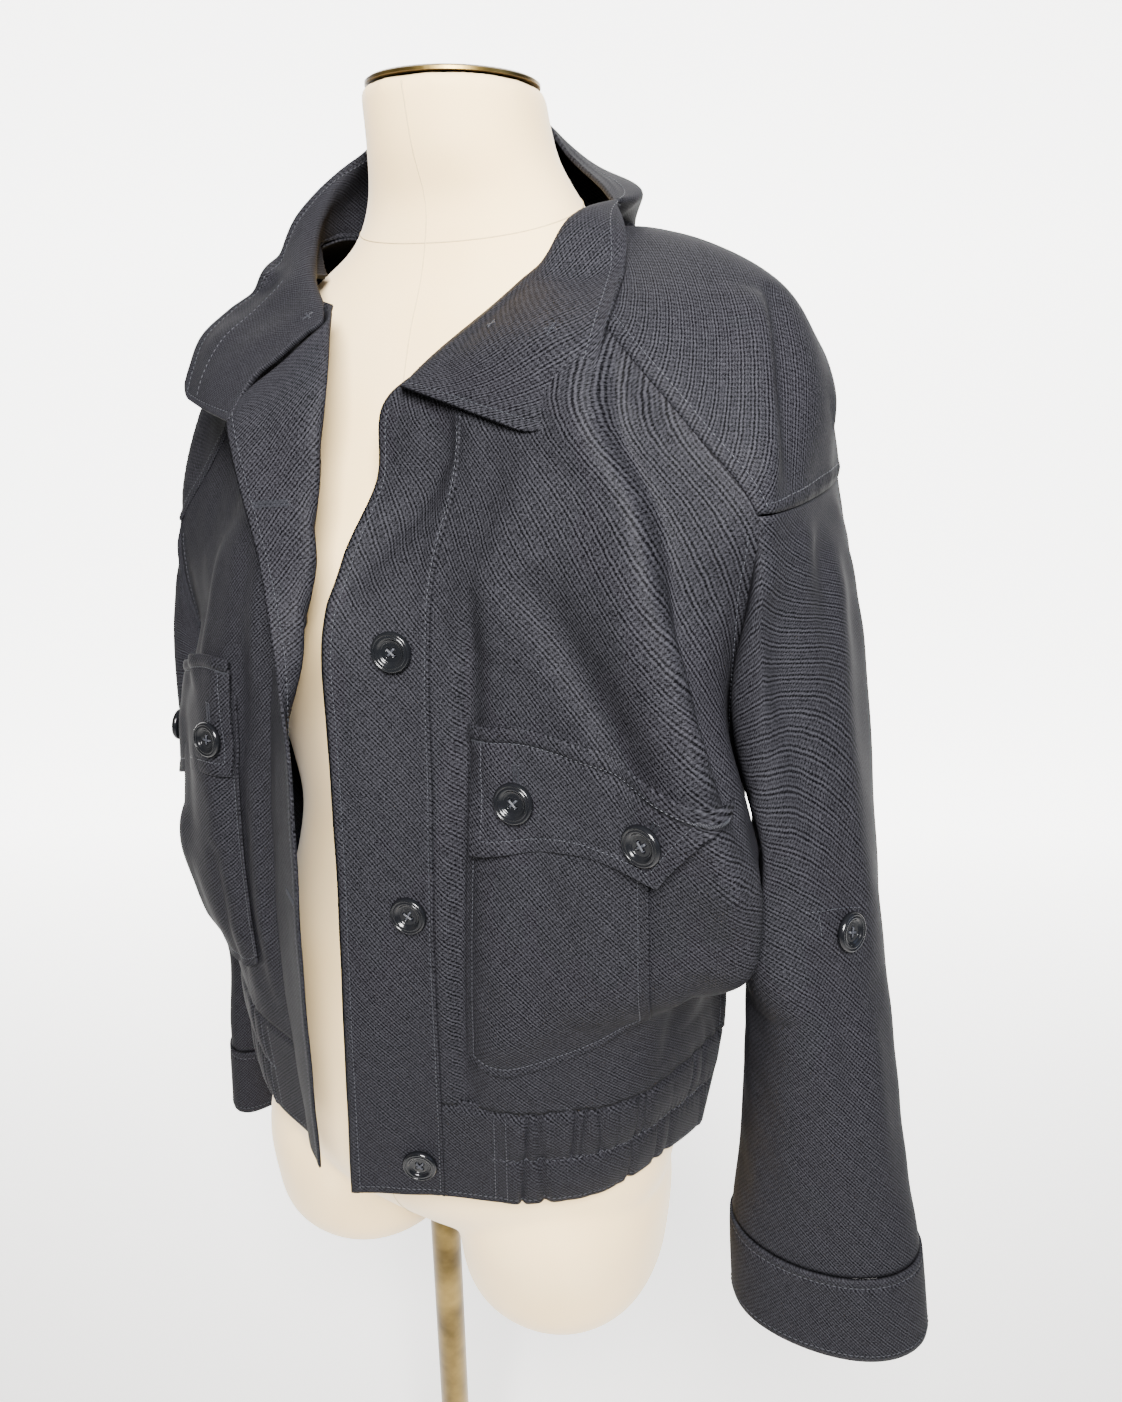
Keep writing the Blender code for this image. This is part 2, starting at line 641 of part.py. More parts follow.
clear_scene()
jacket = make_collection("Utility_jacket")
cutters = make_collection("Cutters", hidden=True)

cloth_black = make_material("Black woven cloth", CLOTH_BLACK, 0.82)
button_black = make_material("Black button", BUTTON_BLACK, 0.25)
form_jersey = make_material("Cream jersey", FORM_CREAM, 0.85)
old_brass = make_material("Old brass", BRASS, 0.35, metallic=1.0)


def placket_edge(height):
    """Where the left placket's seam runs: straight up, then in along the neckline."""
    return PLACKET_WIDTH * float(np.clip((1.225 - height) / (1.225 - 1.176), 0, 1))


def gathered(points, normal, across, start, end):
    """Uneven elastic gathers between start and end, as waves along the normal."""
    inside = np.clip((across - start) / GATHER_SPACING, 0, 1)
    inside = inside * np.clip((end - across) / GATHER_SPACING, 0, 1)
    turns = across / GATHER_SPACING
    phase = 2 * math.pi * turns + 0.9 * np.sin(turns) + 0.6 * np.sin(2.3 * turns)
    return points + normal * (inside * GATHER_DEPTH * np.sin(phase))[..., None]


def band_points(surface, start, end, gather_start, columns, rows):
    heights = np.linspace(HEM, BAND_TOP - SEAM_GAP, rows)[:, None]
    width = surface.width(heights)
    share = np.linspace(0, 1, columns)
    across = start + (width - end - start) * share
    points, normal = panel_points(surface, NO_FOLDS, across, np.broadcast_to(heights, across.shape))
    return gathered(points, normal, across, gather_start, width)


def corner_grid(corners, columns, rows):
    """Across and height for a grid between four corners, bowed up in the middle."""
    down, along = np.meshgrid(np.linspace(0, 1, rows), np.linspace(0, 1, columns), indexing="ij")
    grids = []
    for name in ("across", "height"):
        top_left, top_right, low_left, low_right = corners[name]
        top = top_left + (top_right - top_left) * along
        low = low_left + (low_right - low_left) * along
        grids.append(top + (low - top) * down)
    return grids[0], grids[1] + FLAP_BOW * 4 * along * (1 - along)


def build_fronts():
    left = patch(
        left_surface,
        LEFT_FOLDS,
        lambda h: placket_edge(h) + SEAM_GAP,
        lambda h: left_surface.width(h) - SEAM_INSET,
        BAND_TOP + SEAM_GAP,
        NECK_SEAM - 0.002,
        18,
        22,
    )
    left = clear_of_form(left)
    add_cloth("left_front", left, cloth_black, jacket)
    placket = patch(left_surface, LEFT_FOLDS, 0.0, lambda h: placket_edge(h) - SEAM_INSET, HEM, 1.212, 4, 24)
    placket = clear_of_form(placket)
    add_cloth("left_placket", placket, cloth_black, jacket)
    right = patch(
        right_surface,
        RIGHT_FOLDS,
        SEAM_GAP,
        lambda h: right_surface.width(h) - SEAM_INSET,
        BAND_TOP + SEAM_GAP,
        NECK_SEAM - 0.002,
        13,
        20,
    )
    right = clear_of_form(right)
    add_cloth("right_front", right, cloth_black, jacket)
    share = np.linspace(0.03, 1, 6)[None, :]
    heights = np.linspace(HEM, RIGHT_PLACKET["height"][-1], 22)[:, None]
    add_cloth("right_placket", turned_placket.at(share, heights), cloth_black, jacket)
    return left, right, placket


def build_back():
    points = patch(
        back_surface,
        BACK_FOLDS,
        SEAM_INSET,
        lambda h: back_surface.width(h) - SEAM_INSET,
        BAND_TOP + SEAM_GAP,
        NECK_SEAM - 0.002,
        20,
        16,
    )
    add_cloth("back", clear_of_form(points), cloth_black, jacket)


def build_bands():
    gather_start = PLACKET_WIDTH + FLAT_END
    left = band_points(left_surface, PLACKET_WIDTH + SEAM_GAP, SEAM_INSET, gather_start, 46, 3)
    add_cloth("left_hem_band", clear_of_form(left), cloth_black, jacket)
    right = band_points(right_surface, SEAM_GAP, SEAM_INSET, FLAT_END, 40, 3)
    add_cloth("right_hem_band", clear_of_form(right), cloth_black, jacket)
    back = band_points(back_surface, SEAM_INSET, SEAM_INSET, 0.0, 96, 3)
    add_cloth("back_hem_band", clear_of_form(back), cloth_black, jacket)


def build_shoulder(side):
    shoulder = shoulder_surface(side)
    across = np.linspace(0.012, 0.988, 13)[None, :]
    along = np.linspace(0.02, 0.992, 9)[:, None]
    add_cloth(f"{SIDE_WORD[side]}_shoulder", shoulder.at(across, along), cloth_black, jacket)


def clear_of_body(points, side):
    """Sleeve points kept outside the front and the back."""
    front = left_surface if side > 0 else right_surface
    heights = np.linspace(BAND_TOP, SHOULDER_POINT, 80)[:, None]
    share = np.linspace(0, 1, 80)[None, :]
    for panel in (front, back_surface):
        normals = panel.normal(share, heights)
        points = keep_outside(points, panel.at(share, heights), normals, CLOTH + LAYER_GAP, reach=0.008)
    return points


def build_sleeve(side):
    sleeve = sleeve_surface(side)
    cuff_start = sleeve.along[-CUFF_RINGS]
    around = np.linspace(0, 1, 20, endpoint=False)[None, :]
    down = np.linspace(SEAM_INSET, cuff_start - SEAM_GAP, 13)[:, None]
    points = clear_of_body(sleeve.at(around, down), side)
    add_cloth(f"{SIDE_WORD[side]}_sleeve", points, cloth_black, jacket, ring=True)
    down = np.linspace(cuff_start + SEAM_GAP, sleeve.along[-1], 3)[:, None]
    add_cloth(f"{SIDE_WORD[side]}_cuff", sleeve.at(around, down), cloth_black, jacket, ring=True)
    button = LEFT_SLEEVE_BUTTON if side > 0 else RIGHT_SLEEVE_BUTTON
    spot = (button["around"], button["down"])
    normal = sleeve.normal(*spot)
    add_button(f"{SIDE_WORD[side]}_sleeve_button", sleeve.at(*spot) - SLEEVE_SAG * normal, normal)


def build_collar():
    surface = Surface(COLLAR["station"], points_of(COLLAR, "seam", "roll", "edge"))
    points = surface.at(np.linspace(0, 1, 7)[None, :], np.linspace(0, 1, 41)[:, None])
    gap = (CLOTH + COLLAR_CLOTH) / 2 + 2 * LAYER_GAP
    upper = np.linspace(UNDERARM + 0.12, NECK_SEAM, 60)[:, None]
    share = np.linspace(0, 1, 60)[None, :]
    below = [(panel.at(share, upper), panel.normal(share, upper)) for panel in (left_surface, right_surface)]
    for side in (-1, 1):
        cap = shoulder_surface(side)
        whole = np.linspace(0, 1, 60)[:, None]
        below.append((cap.at(share, whole), cap.normal(share, whole)))
    for under, normals in below:
        points = keep_outside(points, under, normals, gap, reach=0.004)
    points = clear_of_form(points)
    add_cloth("collar", points, cloth_black, jacket, thickness=COLLAR_CLOTH)


def outside(points, under, gap):
    """Points kept gap clear of the flat faces of the grids under them."""
    for grid in under:
        dense, normals = finer(grid)
        points = keep_outside(points, dense, normals, gap)
    return points


def build_pocket(side, front):
    """A patch pocket with its flap and the flap's two buttons, each laid on what is under it."""
    left = left_surface, LEFT_FOLDS, LEFT_POCKET, LEFT_FLAP, LEFT_FLAP_BUTTONS
    right = right_surface, RIGHT_FOLDS, RIGHT_POCKET, RIGHT_FLAP, RIGHT_FLAP_BUTTONS
    surface, folds, pocket_corners, flap_corners, buttons = left if side > 0 else right
    word = SIDE_WORD[side]
    gap = CLOTH + LAYER_GAP
    points, _ = panel_points(surface, folds, *corner_grid(pocket_corners, 9, 11), gap)
    pocket = outside(points, [front], gap)
    add_cloth(f"{word}_pocket", pocket, cloth_black, jacket)
    points, _ = panel_points(surface, folds, *corner_grid(flap_corners, 11, 5), 2 * gap)
    flap = outside(points, [front, pocket], gap)
    add_cloth(f"{word}_pocket_flap", flap, cloth_black, jacket)
    add_panel_buttons(f"{word}_flap_button", surface, buttons, flap)


def add_panel_buttons(name, surface, spots, under):
    """Buttons on the grid under them, at metres across and heights of the panel's surface."""
    dense, normals = finer(under)
    for index, (across, height) in enumerate(zip(spots["across"], spots["height"])):
        wanted = surface.at(across / surface.width(height), height)
        distance = np.linalg.norm(dense - wanted, axis=-1)
        nearest = np.unravel_index(np.argmin(distance), distance.shape)
        point, normal = dense[nearest], normals[nearest]
        covered = dense[np.linalg.norm(dense - point, axis=-1) < 1.25 * BUTTON_RADIUS]
        bulge = ((covered - point) @ normal).max()
        add_button(f"{name}_{index + 1}", point + bulge * normal, normal)


def add_button(name, point, normal):
    """A dished button with a raised rim, standing a thread's width off the cloth."""
    profile = [
        (0.0, 0.62),
        (0.60, 0.62),
        (0.76, 1.0),
        (0.90, 1.0),
        (1.0, 0.60),
        (0.92, 0.0),
        (0.0, 0.0),
    ]
    rings = [(radius * BUTTON_RADIUS, height * BUTTON_THICKNESS) for radius, height in profile]
    button = add_turned(name, rings, button_black, jacket, steps=14)
    place_on(button, point + normal * (CLOTH / 2 + BUTTON_STANDOFF), normal)


def build_form():
    torso = add_object("dress_form", grid_mesh("dress_form", form_torso[::-1], True, True), form_jersey, jacket)
    for side in (-1, 1):
        rings = form_rings(THIGH, sides=20, steps=9, power=2.1, centre_x=side * THIGH_CENTRE_X)
        mesh = grid_mesh("thigh", rings[::-1], ring=True, caps=True)
        thigh = add_object(f"{SIDE_WORD[side]}_thigh", mesh, form_jersey, cutters)
        thigh.hide_render = True
        thigh.display_type = "WIRE"
        join = torso.modifiers.new("Thigh", "BOOLEAN")
        join.operation = "UNION"
        join.object = thigh


def build_stand():
    top = NECK_TOP - TORSO["height"][0]
    cap = add_turned(
        "neck_cap",
        [
            (0.0, top),
            (0.60 * NECK_CAP_RADIUS, 0.9 * top),
            (NECK_CAP_RADIUS, 0.4 * top),
            (NECK_CAP_RADIUS, SEAM_GAP),
            (0.0, SEAM_GAP),
        ],
        old_brass,
        jacket,
        steps=32,
    )
    cap.location = (0.0, (TORSO["front"][0] + TORSO["back"][0]) / 2, TORSO["height"][0])
    pole_top = TORSO["height"][-1] - SEAM_GAP
    pole_foot = BASE_THICKNESS + SEAM_GAP
    add_turned(
        "pole",
        [(0.0, pole_top), (POLE_RADIUS, pole_top), (POLE_RADIUS, pole_foot), (0.0, pole_foot)],
        old_brass,
        jacket,
        steps=24,
    )
    add_turned(
        "base",
        [
            (0.0, BASE_THICKNESS),
            (BASE_RADIUS - BASE_BEVEL, BASE_THICKNESS),
            (BASE_RADIUS, BASE_THICKNESS - BASE_BEVEL),
            (BASE_RADIUS, 0.0),
            (0.0, 0.0),
        ],
        old_brass,
        jacket,
        steps=48,
    )


build_form()
build_stand()
left_front, right_front, left_placket = build_fronts()
build_back()
build_bands()
for side, front in ((1, left_front), (-1, right_front)):
    build_shoulder(side)
    build_sleeve(side)
    build_pocket(side, front)
build_collar()
add_panel_buttons("placket_button", left_surface, PLACKET_BUTTONS, left_placket)
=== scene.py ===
"""Utility jacket on a dress form.

A short black twill jacket hangs open on a limbless cream dress form with a brass pole. Every piece is worked out
on the CAD's own levels, in metres, with the folds, seams and stitches of the real one. The wearer faces -Y and the
wearer's left is +X.
"""

import math

import bpy
import numpy as np
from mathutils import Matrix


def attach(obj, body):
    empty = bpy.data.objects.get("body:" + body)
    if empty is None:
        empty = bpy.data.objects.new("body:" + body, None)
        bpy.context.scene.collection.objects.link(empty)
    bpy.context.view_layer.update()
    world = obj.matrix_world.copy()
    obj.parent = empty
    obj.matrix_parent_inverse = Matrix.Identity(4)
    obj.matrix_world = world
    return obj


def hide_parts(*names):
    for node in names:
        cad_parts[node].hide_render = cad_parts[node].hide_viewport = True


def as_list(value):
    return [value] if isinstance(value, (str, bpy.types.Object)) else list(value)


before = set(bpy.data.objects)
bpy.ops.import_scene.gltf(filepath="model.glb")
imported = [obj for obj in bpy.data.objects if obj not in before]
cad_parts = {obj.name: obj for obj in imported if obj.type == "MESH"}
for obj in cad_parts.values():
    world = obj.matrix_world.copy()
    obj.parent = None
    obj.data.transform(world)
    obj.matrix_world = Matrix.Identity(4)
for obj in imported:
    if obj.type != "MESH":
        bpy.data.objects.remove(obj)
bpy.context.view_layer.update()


# ---------------------------------------------------------------- dress form
# The body that carries the jacket: a padded torso and two thigh stumps with no limbs, covered in stretched cream
# jersey. The jersey's panels meet in flat seams down the centre and round the foot of the neck.

MM = 0.001


def table(columns, *rows):
    """One array for each named column, lengths turned from millimetres to metres; station and turn stay plain."""
    named = dict(zip(columns.split(), np.array(rows, float).T))
    return {name: values if name in ("station", "turn") else values * MM for name, values in named.items()}


def points_of(rows, *names):
    """Rows as an array (row, point, xyz) from columns called NAME_x, NAME_y and NAME_z."""
    return np.stack([np.stack([rows[f"{name}_{axis}"] for axis in "xyz"], -1) for name in names], 1)


def spline_weights(knots, at):
    """For each position, four neighbouring knots and their weights on the smooth cubic through them."""
    last = len(knots) - 1
    start = np.clip(np.searchsorted(knots, at, "right") - 1, 0, last - 1)
    index = np.clip(start[..., None] + np.arange(-1, 3), 0, last)
    t0, t1, t2, t3 = np.moveaxis(knots[index], -1, 0)
    span = t2 - t1
    s = (at - t1) / span
    rise_1 = s * (1 - s) ** 2 * span / (t2 - t0)
    rise_2 = s**2 * (s - 1) * span / (t3 - t1)
    blend = s * s * (3 - 2 * s)
    return index, np.stack([-rise_1, 1 - blend - rise_2, blend + rise_1, rise_2], -1)


def curve_at(knots, values, at):
    """Points of the smooth curve through values at knots."""
    index, weights = spline_weights(np.asarray(knots, float), np.asarray(at, float))
    return np.einsum("...k,...kc->...c", weights, np.asarray(values, float)[index])


def linear(hex_colour):
    """An sRGB hex colour as linear RGBA."""
    values = [int(hex_colour[i : i + 2], 16) / 255 for i in (1, 3, 5)]
    return [v / 12.92 if v <= 0.04045 else ((v + 0.055) / 1.055) ** 2.4 for v in values] + [1.0]


def add(tree, kind, inputs=(), **settings):
    """Add a node. inputs are values, nodes (their first output) or sockets, in order or by name."""
    made = tree.nodes.new(kind)
    for name, value in settings.items():
        setattr(made, name, value)
    for key, value in inputs.items() if isinstance(inputs, dict) else enumerate(inputs):
        if isinstance(value, bpy.types.Node):
            value = value.outputs[0]
        if isinstance(value, bpy.types.NodeSocket):
            tree.links.new(value, made.inputs[key])
        elif value is not None:
            made.inputs[key].default_value = value
    return made


def finish(name, roughness, **shader_values):
    """A new material's tree and its Principled shader with these plain values."""
    material = bpy.data.materials.new(name)
    material.use_nodes = True
    shader = material.node_tree.nodes["Principled BSDF"]
    shader.inputs["Roughness"].default_value = roughness
    for socket, value in shader_values.items():
        shader.inputs[socket.replace("_", " ")].default_value = value
    return material, material.node_tree, shader


def mesh_piece(name, points, faces, material, uv=None):
    """A smooth piece at the origin from vertices and faces; uv is one pair for each face corner."""
    mesh = bpy.data.meshes.new(name)
    mesh.from_pydata(np.reshape(points, (-1, 3)).tolist(), [], faces if isinstance(faces, list) else faces.tolist())
    if uv is not None:
        mesh.uv_layers.new(name="Cloth").uv.foreach_set("vector", np.ravel(uv))
    mesh.shade_smooth()
    mesh.materials.append(material)
    piece = bpy.data.objects.new(name, mesh)
    bpy.context.scene.collection.objects.link(piece)
    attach(piece, "root")
    return piece


def grid_faces(rows, columns, wrap=False, flip=False):
    """Quads over a grid, wrapped round to the first column or not."""
    index = np.arange(rows * columns).reshape(rows, columns)
    if wrap:
        index = np.concatenate([index, index[:, :1]], axis=1)
    quads = np.stack([index[:-1, :-1], index[:-1, 1:], index[1:, 1:], index[1:, :-1]], -1).reshape(-1, 4)
    return quads[:, ::-1] if flip else quads


TORSO = table(
    "height half_width front back",
    (1344, 51, 14, 118),
    (1310, 56, 22, 128),
    (1284, 69, 33, 141),
    (1262, 84, 31, 147),
    (1240, 116, 24, 150),
    (1215, 142, 12, 160),
    (1180, 158, 0, 167),
    (1130, 157, -18, 169),
    (1080, 150, -38, 160),
    (1040, 146, -47, 133),
    (990, 136, -43, 118),
    (940, 124, -34, 104),
    (900, 118, -32, 99),
    (850, 128, -40, 106),
    (790, 150, -54, 122),
    (730, 165, -64, 134),
    (680, 170, -67, 138),
    (640, 166, -62, 133),
    (608, 142, -46, 114),
    (585, 92, -26, 86),
)
THIGH = table(
    "height half_width front back",
    (670, 70, -40, 110),
    (620, 78, -54, 124),
    (574, 77, -52, 122),
    (546, 73, -46, 115),
    (528, 62, -32, 101),
    (518, 40, -8, 77),
)
THIGH_CENTRE_X = 0.089
TORSO_POWER = 2.15
THIGH_POWER = 2.1


def ring_at(rows, height):
    """Half width, middle and half depth of the form's ring at each height."""
    profile = np.stack([rows["half_width"], rows["front"], rows["back"]], -1)
    half_width, front, back = np.moveaxis(curve_at(-rows["height"], profile, -np.asarray(height)), -1, 0)
    return half_width, (front + back) / 2, (back - front) / 2


def on_form(rows, angle, height, power):
    """Points at an angle round and a height: superellipses |x/a|^p + |y/b|^p = 1 on smooth widths and depths."""
    half_width, middle, depth = ring_at(rows, height)
    x = half_width * np.sign(np.cos(angle)) * np.abs(np.cos(angle)) ** (2 / power)
    y = middle + depth * np.sign(np.sin(angle)) * np.abs(np.sin(angle)) ** (2 / power)
    return np.stack(np.broadcast_arrays(x, y, height), -1)


def closed_stack(rows, power, sides, steps, shift=0.0):
    """A closed skin over the rings from the lowest up, with a fan at each end."""
    angle = np.linspace(0, 2 * math.pi, sides, endpoint=False)[None, :]
    height = np.linspace(rows["height"][-1], rows["height"][0], steps)[:, None]
    rings = on_form(rows, angle, height, power) + np.array([shift, 0.0, 0.0])
    ends = rings[[0, -1]].mean(axis=1)
    points = np.concatenate([rings.reshape(-1, 3), ends])
    faces = grid_faces(steps, sides, wrap=True).tolist()
    around = np.arange(sides)
    low = np.stack([np.full(sides, steps * sides), np.roll(around, -1), around], -1)
    top = (steps - 1) * sides
    high = np.stack([np.full(sides, steps * sides + 1), top + around, top + np.roll(around, -1)], -1)
    return points, faces + low.tolist() + high.tolist()


jersey, tree, shader = finish("Stretched cotton jersey, cream", 0.86, Sheen_Weight=0.25, Sheen_Roughness=0.5)
# Fine knitted loops 1.1 mm apart, drawn coarser than the real 0.6 mm so that they show as a soft grain.
place = add(tree, "ShaderNodeTexCoord").outputs["Object"]
loops = add(tree, "ShaderNodeTexNoise", {"Vector": place, "Scale": 900.0, "Detail": 2.0})
cloud = add(tree, "ShaderNodeTexNoise", {"Vector": place, "Scale": 9.0, "Detail": 3.0})
ramp = add(tree, "ShaderNodeValToRGB", {"Fac": cloud})
ramp.color_ramp.elements[0].position, ramp.color_ramp.elements[0].color = 0.30, linear("#dcbd84")
ramp.color_ramp.elements[1].position, ramp.color_ramp.elements[1].color = 0.70, linear("#e6ca96")
tree.links.new(ramp.outputs["Color"], shader.inputs["Base Color"])
bump = add(tree, "ShaderNodeBump", {"Strength": 0.25, "Distance": 0.0003, "Height": loops})
tree.links.new(bump.outputs["Normal"], shader.inputs["Normal"])

torso_points, torso_faces = closed_stack(TORSO, TORSO_POWER, 120, 150)
left_points, left_faces = closed_stack(THIGH, THIGH_POWER, 72, 36, THIGH_CENTRE_X)
right_points, right_faces = closed_stack(THIGH, THIGH_POWER, 72, 36, -THIGH_CENTRE_X)
all_faces = list(torso_faces)
for start, faces in ((len(torso_points), left_faces), (len(torso_points) + len(left_points), right_faces)):
    all_faces += [[corner + start for corner in face] for face in faces]
mesh = bpy.data.meshes.new("dress_form_jersey")
mesh.from_pydata(np.concatenate([torso_points, left_points, right_points]).tolist(), [], all_faces)
mesh.materials.append(jersey)
form = bpy.data.objects.new("dress_form_jersey", mesh)
bpy.context.scene.collection.objects.link(form)
join = form.modifiers.new("One skin", "REMESH")
join.mode = "VOXEL"
join.voxel_size = 0.0035
join.use_smooth_shade = True
soften = form.modifiers.new("Padding", "SMOOTH")
soften.factor = 0.5
soften.iterations = 10
thin = form.modifiers.new("Fewer faces where it is smooth", "DECIMATE")
thin.ratio = 0.28
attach(form, "root")
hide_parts("dress_form")


def tube(path, radius, sides=6):
    """A closed tube: rings of a fixed radius, square to the path, and a point at each end."""
    path = np.asarray(path, float)
    along = np.gradient(path, axis=0)
    along /= np.linalg.norm(along, axis=1, keepdims=True)
    side = np.cross(along, [0.31, 0.22, 0.92])
    side /= np.linalg.norm(side, axis=1, keepdims=True)
    other = np.cross(along, side)
    angle = np.linspace(0, 2 * math.pi, sides, endpoint=False)[None, :, None]
    radius = np.broadcast_to(radius, len(path))[:, None, None]
    rings = path[:, None] + radius * (side[:, None] * np.cos(angle) + other[:, None] * np.sin(angle))
    points = np.concatenate([rings.reshape(-1, 3), path[[0, -1]]])
    count, around = len(path), np.arange(sides)
    first = np.stack([np.full(sides, count * sides), np.roll(around, -1), around], -1)
    top = (count - 1) * sides
    last = np.stack([np.full(sides, count * sides + 1), top + around, top + np.roll(around, -1)], -1)
    return points, grid_faces(count, sides, wrap=True).tolist() + first.tolist() + last.tolist()


def join_parts(parts):
    """Several (points, faces) as one."""
    points, faces, start = [], [], 0
    for part_points, part_faces in parts:
        points.append(part_points)
        faces += [[corner + start for corner in face] for face in part_faces]
        start += len(part_points)
    return np.concatenate(points), faces


seam_thread, tree, shader = finish("Cotton seam in jersey", 0.9)
# The sewn-down ridge has threads about 2 mm long that catch the light a little unevenly.
place = add(tree, "ShaderNodeTexCoord").outputs["Object"]
grain = add(tree, "ShaderNodeTexNoise", {"Vector": place, "Scale": 500.0})
ramp = add(tree, "ShaderNodeValToRGB", {"Fac": grain})
ramp.color_ramp.elements[0].color, ramp.color_ramp.elements[1].color = linear("#b59f74"), linear("#c8b48a")
tree.links.new(ramp.outputs["Color"], shader.inputs["Base Color"])
NECK_SEAM_FRONT, NECK_SEAM_BACK = 1.262, 1.300
seam_runs = []
heights = np.linspace(1.340, 0.60, 90)
for angle in (-math.pi / 2, math.pi / 2):
    seam_runs.append(on_form(TORSO, np.full(90, angle), heights, TORSO_POWER))
round_neck = np.linspace(-math.pi, math.pi, 120)
level = NECK_SEAM_FRONT + (NECK_SEAM_BACK - NECK_SEAM_FRONT) * (1 + np.sin(round_neck)) / 2
seam_runs.append(on_form(TORSO, round_neck, level, TORSO_POWER))
parts = [tube(run, 0.00042) for run in seam_runs]
points, faces = join_parts(parts)
mesh_piece("dress_form_seams", points, faces, seam_thread)


# ---------------------------------------------------------------- stand
# A turned brass cap closes the neck, and an aged brass tube carries the form over a heavy round foot. The cap is
# pressed in and the tube screws into the foot.

brass, tree, shader = finish("Aged brass tube, drawn", 0.34, Metallic=1.0)
# Drawing marks run along the tube, 2 mm apart round it and 300 mm long, and the lacquer has browned in clouds.
place = add(tree, "ShaderNodeTexCoord").outputs["Object"]
stretch = add(tree, "ShaderNodeMapping", {"Vector": place, "Scale": (500.0, 500.0, 3.0)})
marks = add(tree, "ShaderNodeTexNoise", {"Vector": stretch, "Scale": 1.0, "Detail": 3.0})
cloud = add(tree, "ShaderNodeTexNoise", {"Vector": place, "Scale": 25.0, "Detail": 4.0})
ramp = add(tree, "ShaderNodeValToRGB", {"Fac": cloud})
ramp.color_ramp.elements[0].position, ramp.color_ramp.elements[0].color = 0.30, linear("#3b2f17")
ramp.color_ramp.elements[1].position, ramp.color_ramp.elements[1].color = 0.72, linear("#8d7743")
tree.links.new(ramp.outputs["Color"], shader.inputs["Base Color"])
rough = add(tree, "ShaderNodeMapRange", {"Value": marks, "To Min": 0.26, "To Max": 0.46})
tree.links.new(rough.outputs[0], shader.inputs["Roughness"])
bump = add(tree, "ShaderNodeBump", {"Strength": 0.15, "Distance": 0.0002, "Height": marks})
tree.links.new(bump.outputs["Normal"], shader.inputs["Normal"])


def turned(name, profile, middle_y, node, sides=72):
    """A turned piece: each (radius, height) of the profile swept round Z, top to bottom, closed at the axis."""
    profile = np.array(profile)
    angle = np.linspace(0, 2 * math.pi, sides, endpoint=False)
    rings = profile[1:-1]
    x = rings[:, :1] * np.cos(angle)
    y = rings[:, :1] * np.sin(angle) + middle_y
    z = np.broadcast_to(rings[:, 1:], x.shape)
    points = np.stack([x, y, z], -1).reshape(-1, 3)
    ends = np.array([[0, middle_y, profile[0, 1]], [0, middle_y, profile[-1, 1]]])
    around, count = np.arange(sides), len(rings)
    top = np.stack([np.full(sides, count * sides), around, np.roll(around, -1)], -1)
    last = (count - 1) * sides
    bottom = np.stack([np.full(sides, count * sides + 1), last + np.roll(around, -1), last + around], -1)
    faces = grid_faces(count, sides, wrap=True, flip=True).tolist() + top.tolist() + bottom.tolist()
    piece = mesh_piece(name, np.concatenate([points, ends]), faces, brass)
    piece.data.set_sharp_from_angle(angle=math.radians(40))
    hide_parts(node)
    return piece


CAP_FOOT, CAP_RADIUS, CAP_Y = 1.3444, 0.050, 0.066
turned(
    "neck_cap_turned",
    [
        (0, CAP_FOOT + 0.0056), (0.020, CAP_FOOT + 0.0054), (0.034, CAP_FOOT + 0.0046), (0.044, CAP_FOOT + 0.0034),
        (0.0485, CAP_FOOT + 0.0026), (CAP_RADIUS, CAP_FOOT + 0.0016), (CAP_RADIUS, CAP_FOOT), (0, CAP_FOOT),
    ],
    CAP_Y,
    "neck_cap",
)
POLE_RADIUS, POLE_TOP, POLE_FOOT = 0.0115, 0.5846, 0.0124
turned(
    "pole_tube",
    [
        (0, POLE_TOP), (POLE_RADIUS, POLE_TOP), (POLE_RADIUS, 0.40), (POLE_RADIUS, 0.20),
        (POLE_RADIUS, POLE_FOOT), (0, POLE_FOOT),
    ],
    0.0,
    "pole",
    sides=48,
)
turned(
    "base_foot",
    [
        (0, 0.012), (0.020, 0.012), (0.144, 0.012), (0.1464, 0.0117), (0.1484, 0.0104), (0.1497, 0.0084),
        (0.150, 0.006), (0.150, 0.001), (0.1494, 0.0), (0, 0.0),
    ],
    0.0,
    "base",
    sides=120,
)


# ---------------------------------------------------------------- back
# The back is one wide piece of black linen-look twill, cut full and bloused over the elastic band. It is felled to
# the raglan shoulders and the side seams.

CLOTH = 0.0012  # what one layer shows of its thickness
HEM, BAND_TOP, UNDERARM = 0.683, 0.765, 0.955
SHOULDER_POINT, NECK_SEAM = 1.136, 1.245
FORM_GAP = 0.0016  # from the jersey to the middle of the cloth


def even(points, count):
    """The smooth curve through the points as count points, evenly spaced along it."""
    knots = np.concatenate([[0.0], np.cumsum(np.linalg.norm(np.diff(points, axis=0), axis=1))])
    fine = curve_at(knots, points, np.linspace(0, knots[-1], 12 * len(points)))
    along = np.concatenate([[0.0], np.cumsum(np.linalg.norm(np.diff(fine, axis=0), axis=1))])
    wanted = np.linspace(0, along[-1], count)
    return np.stack([np.interp(wanted, along, fine[:, axis]) for axis in range(3)], -1)


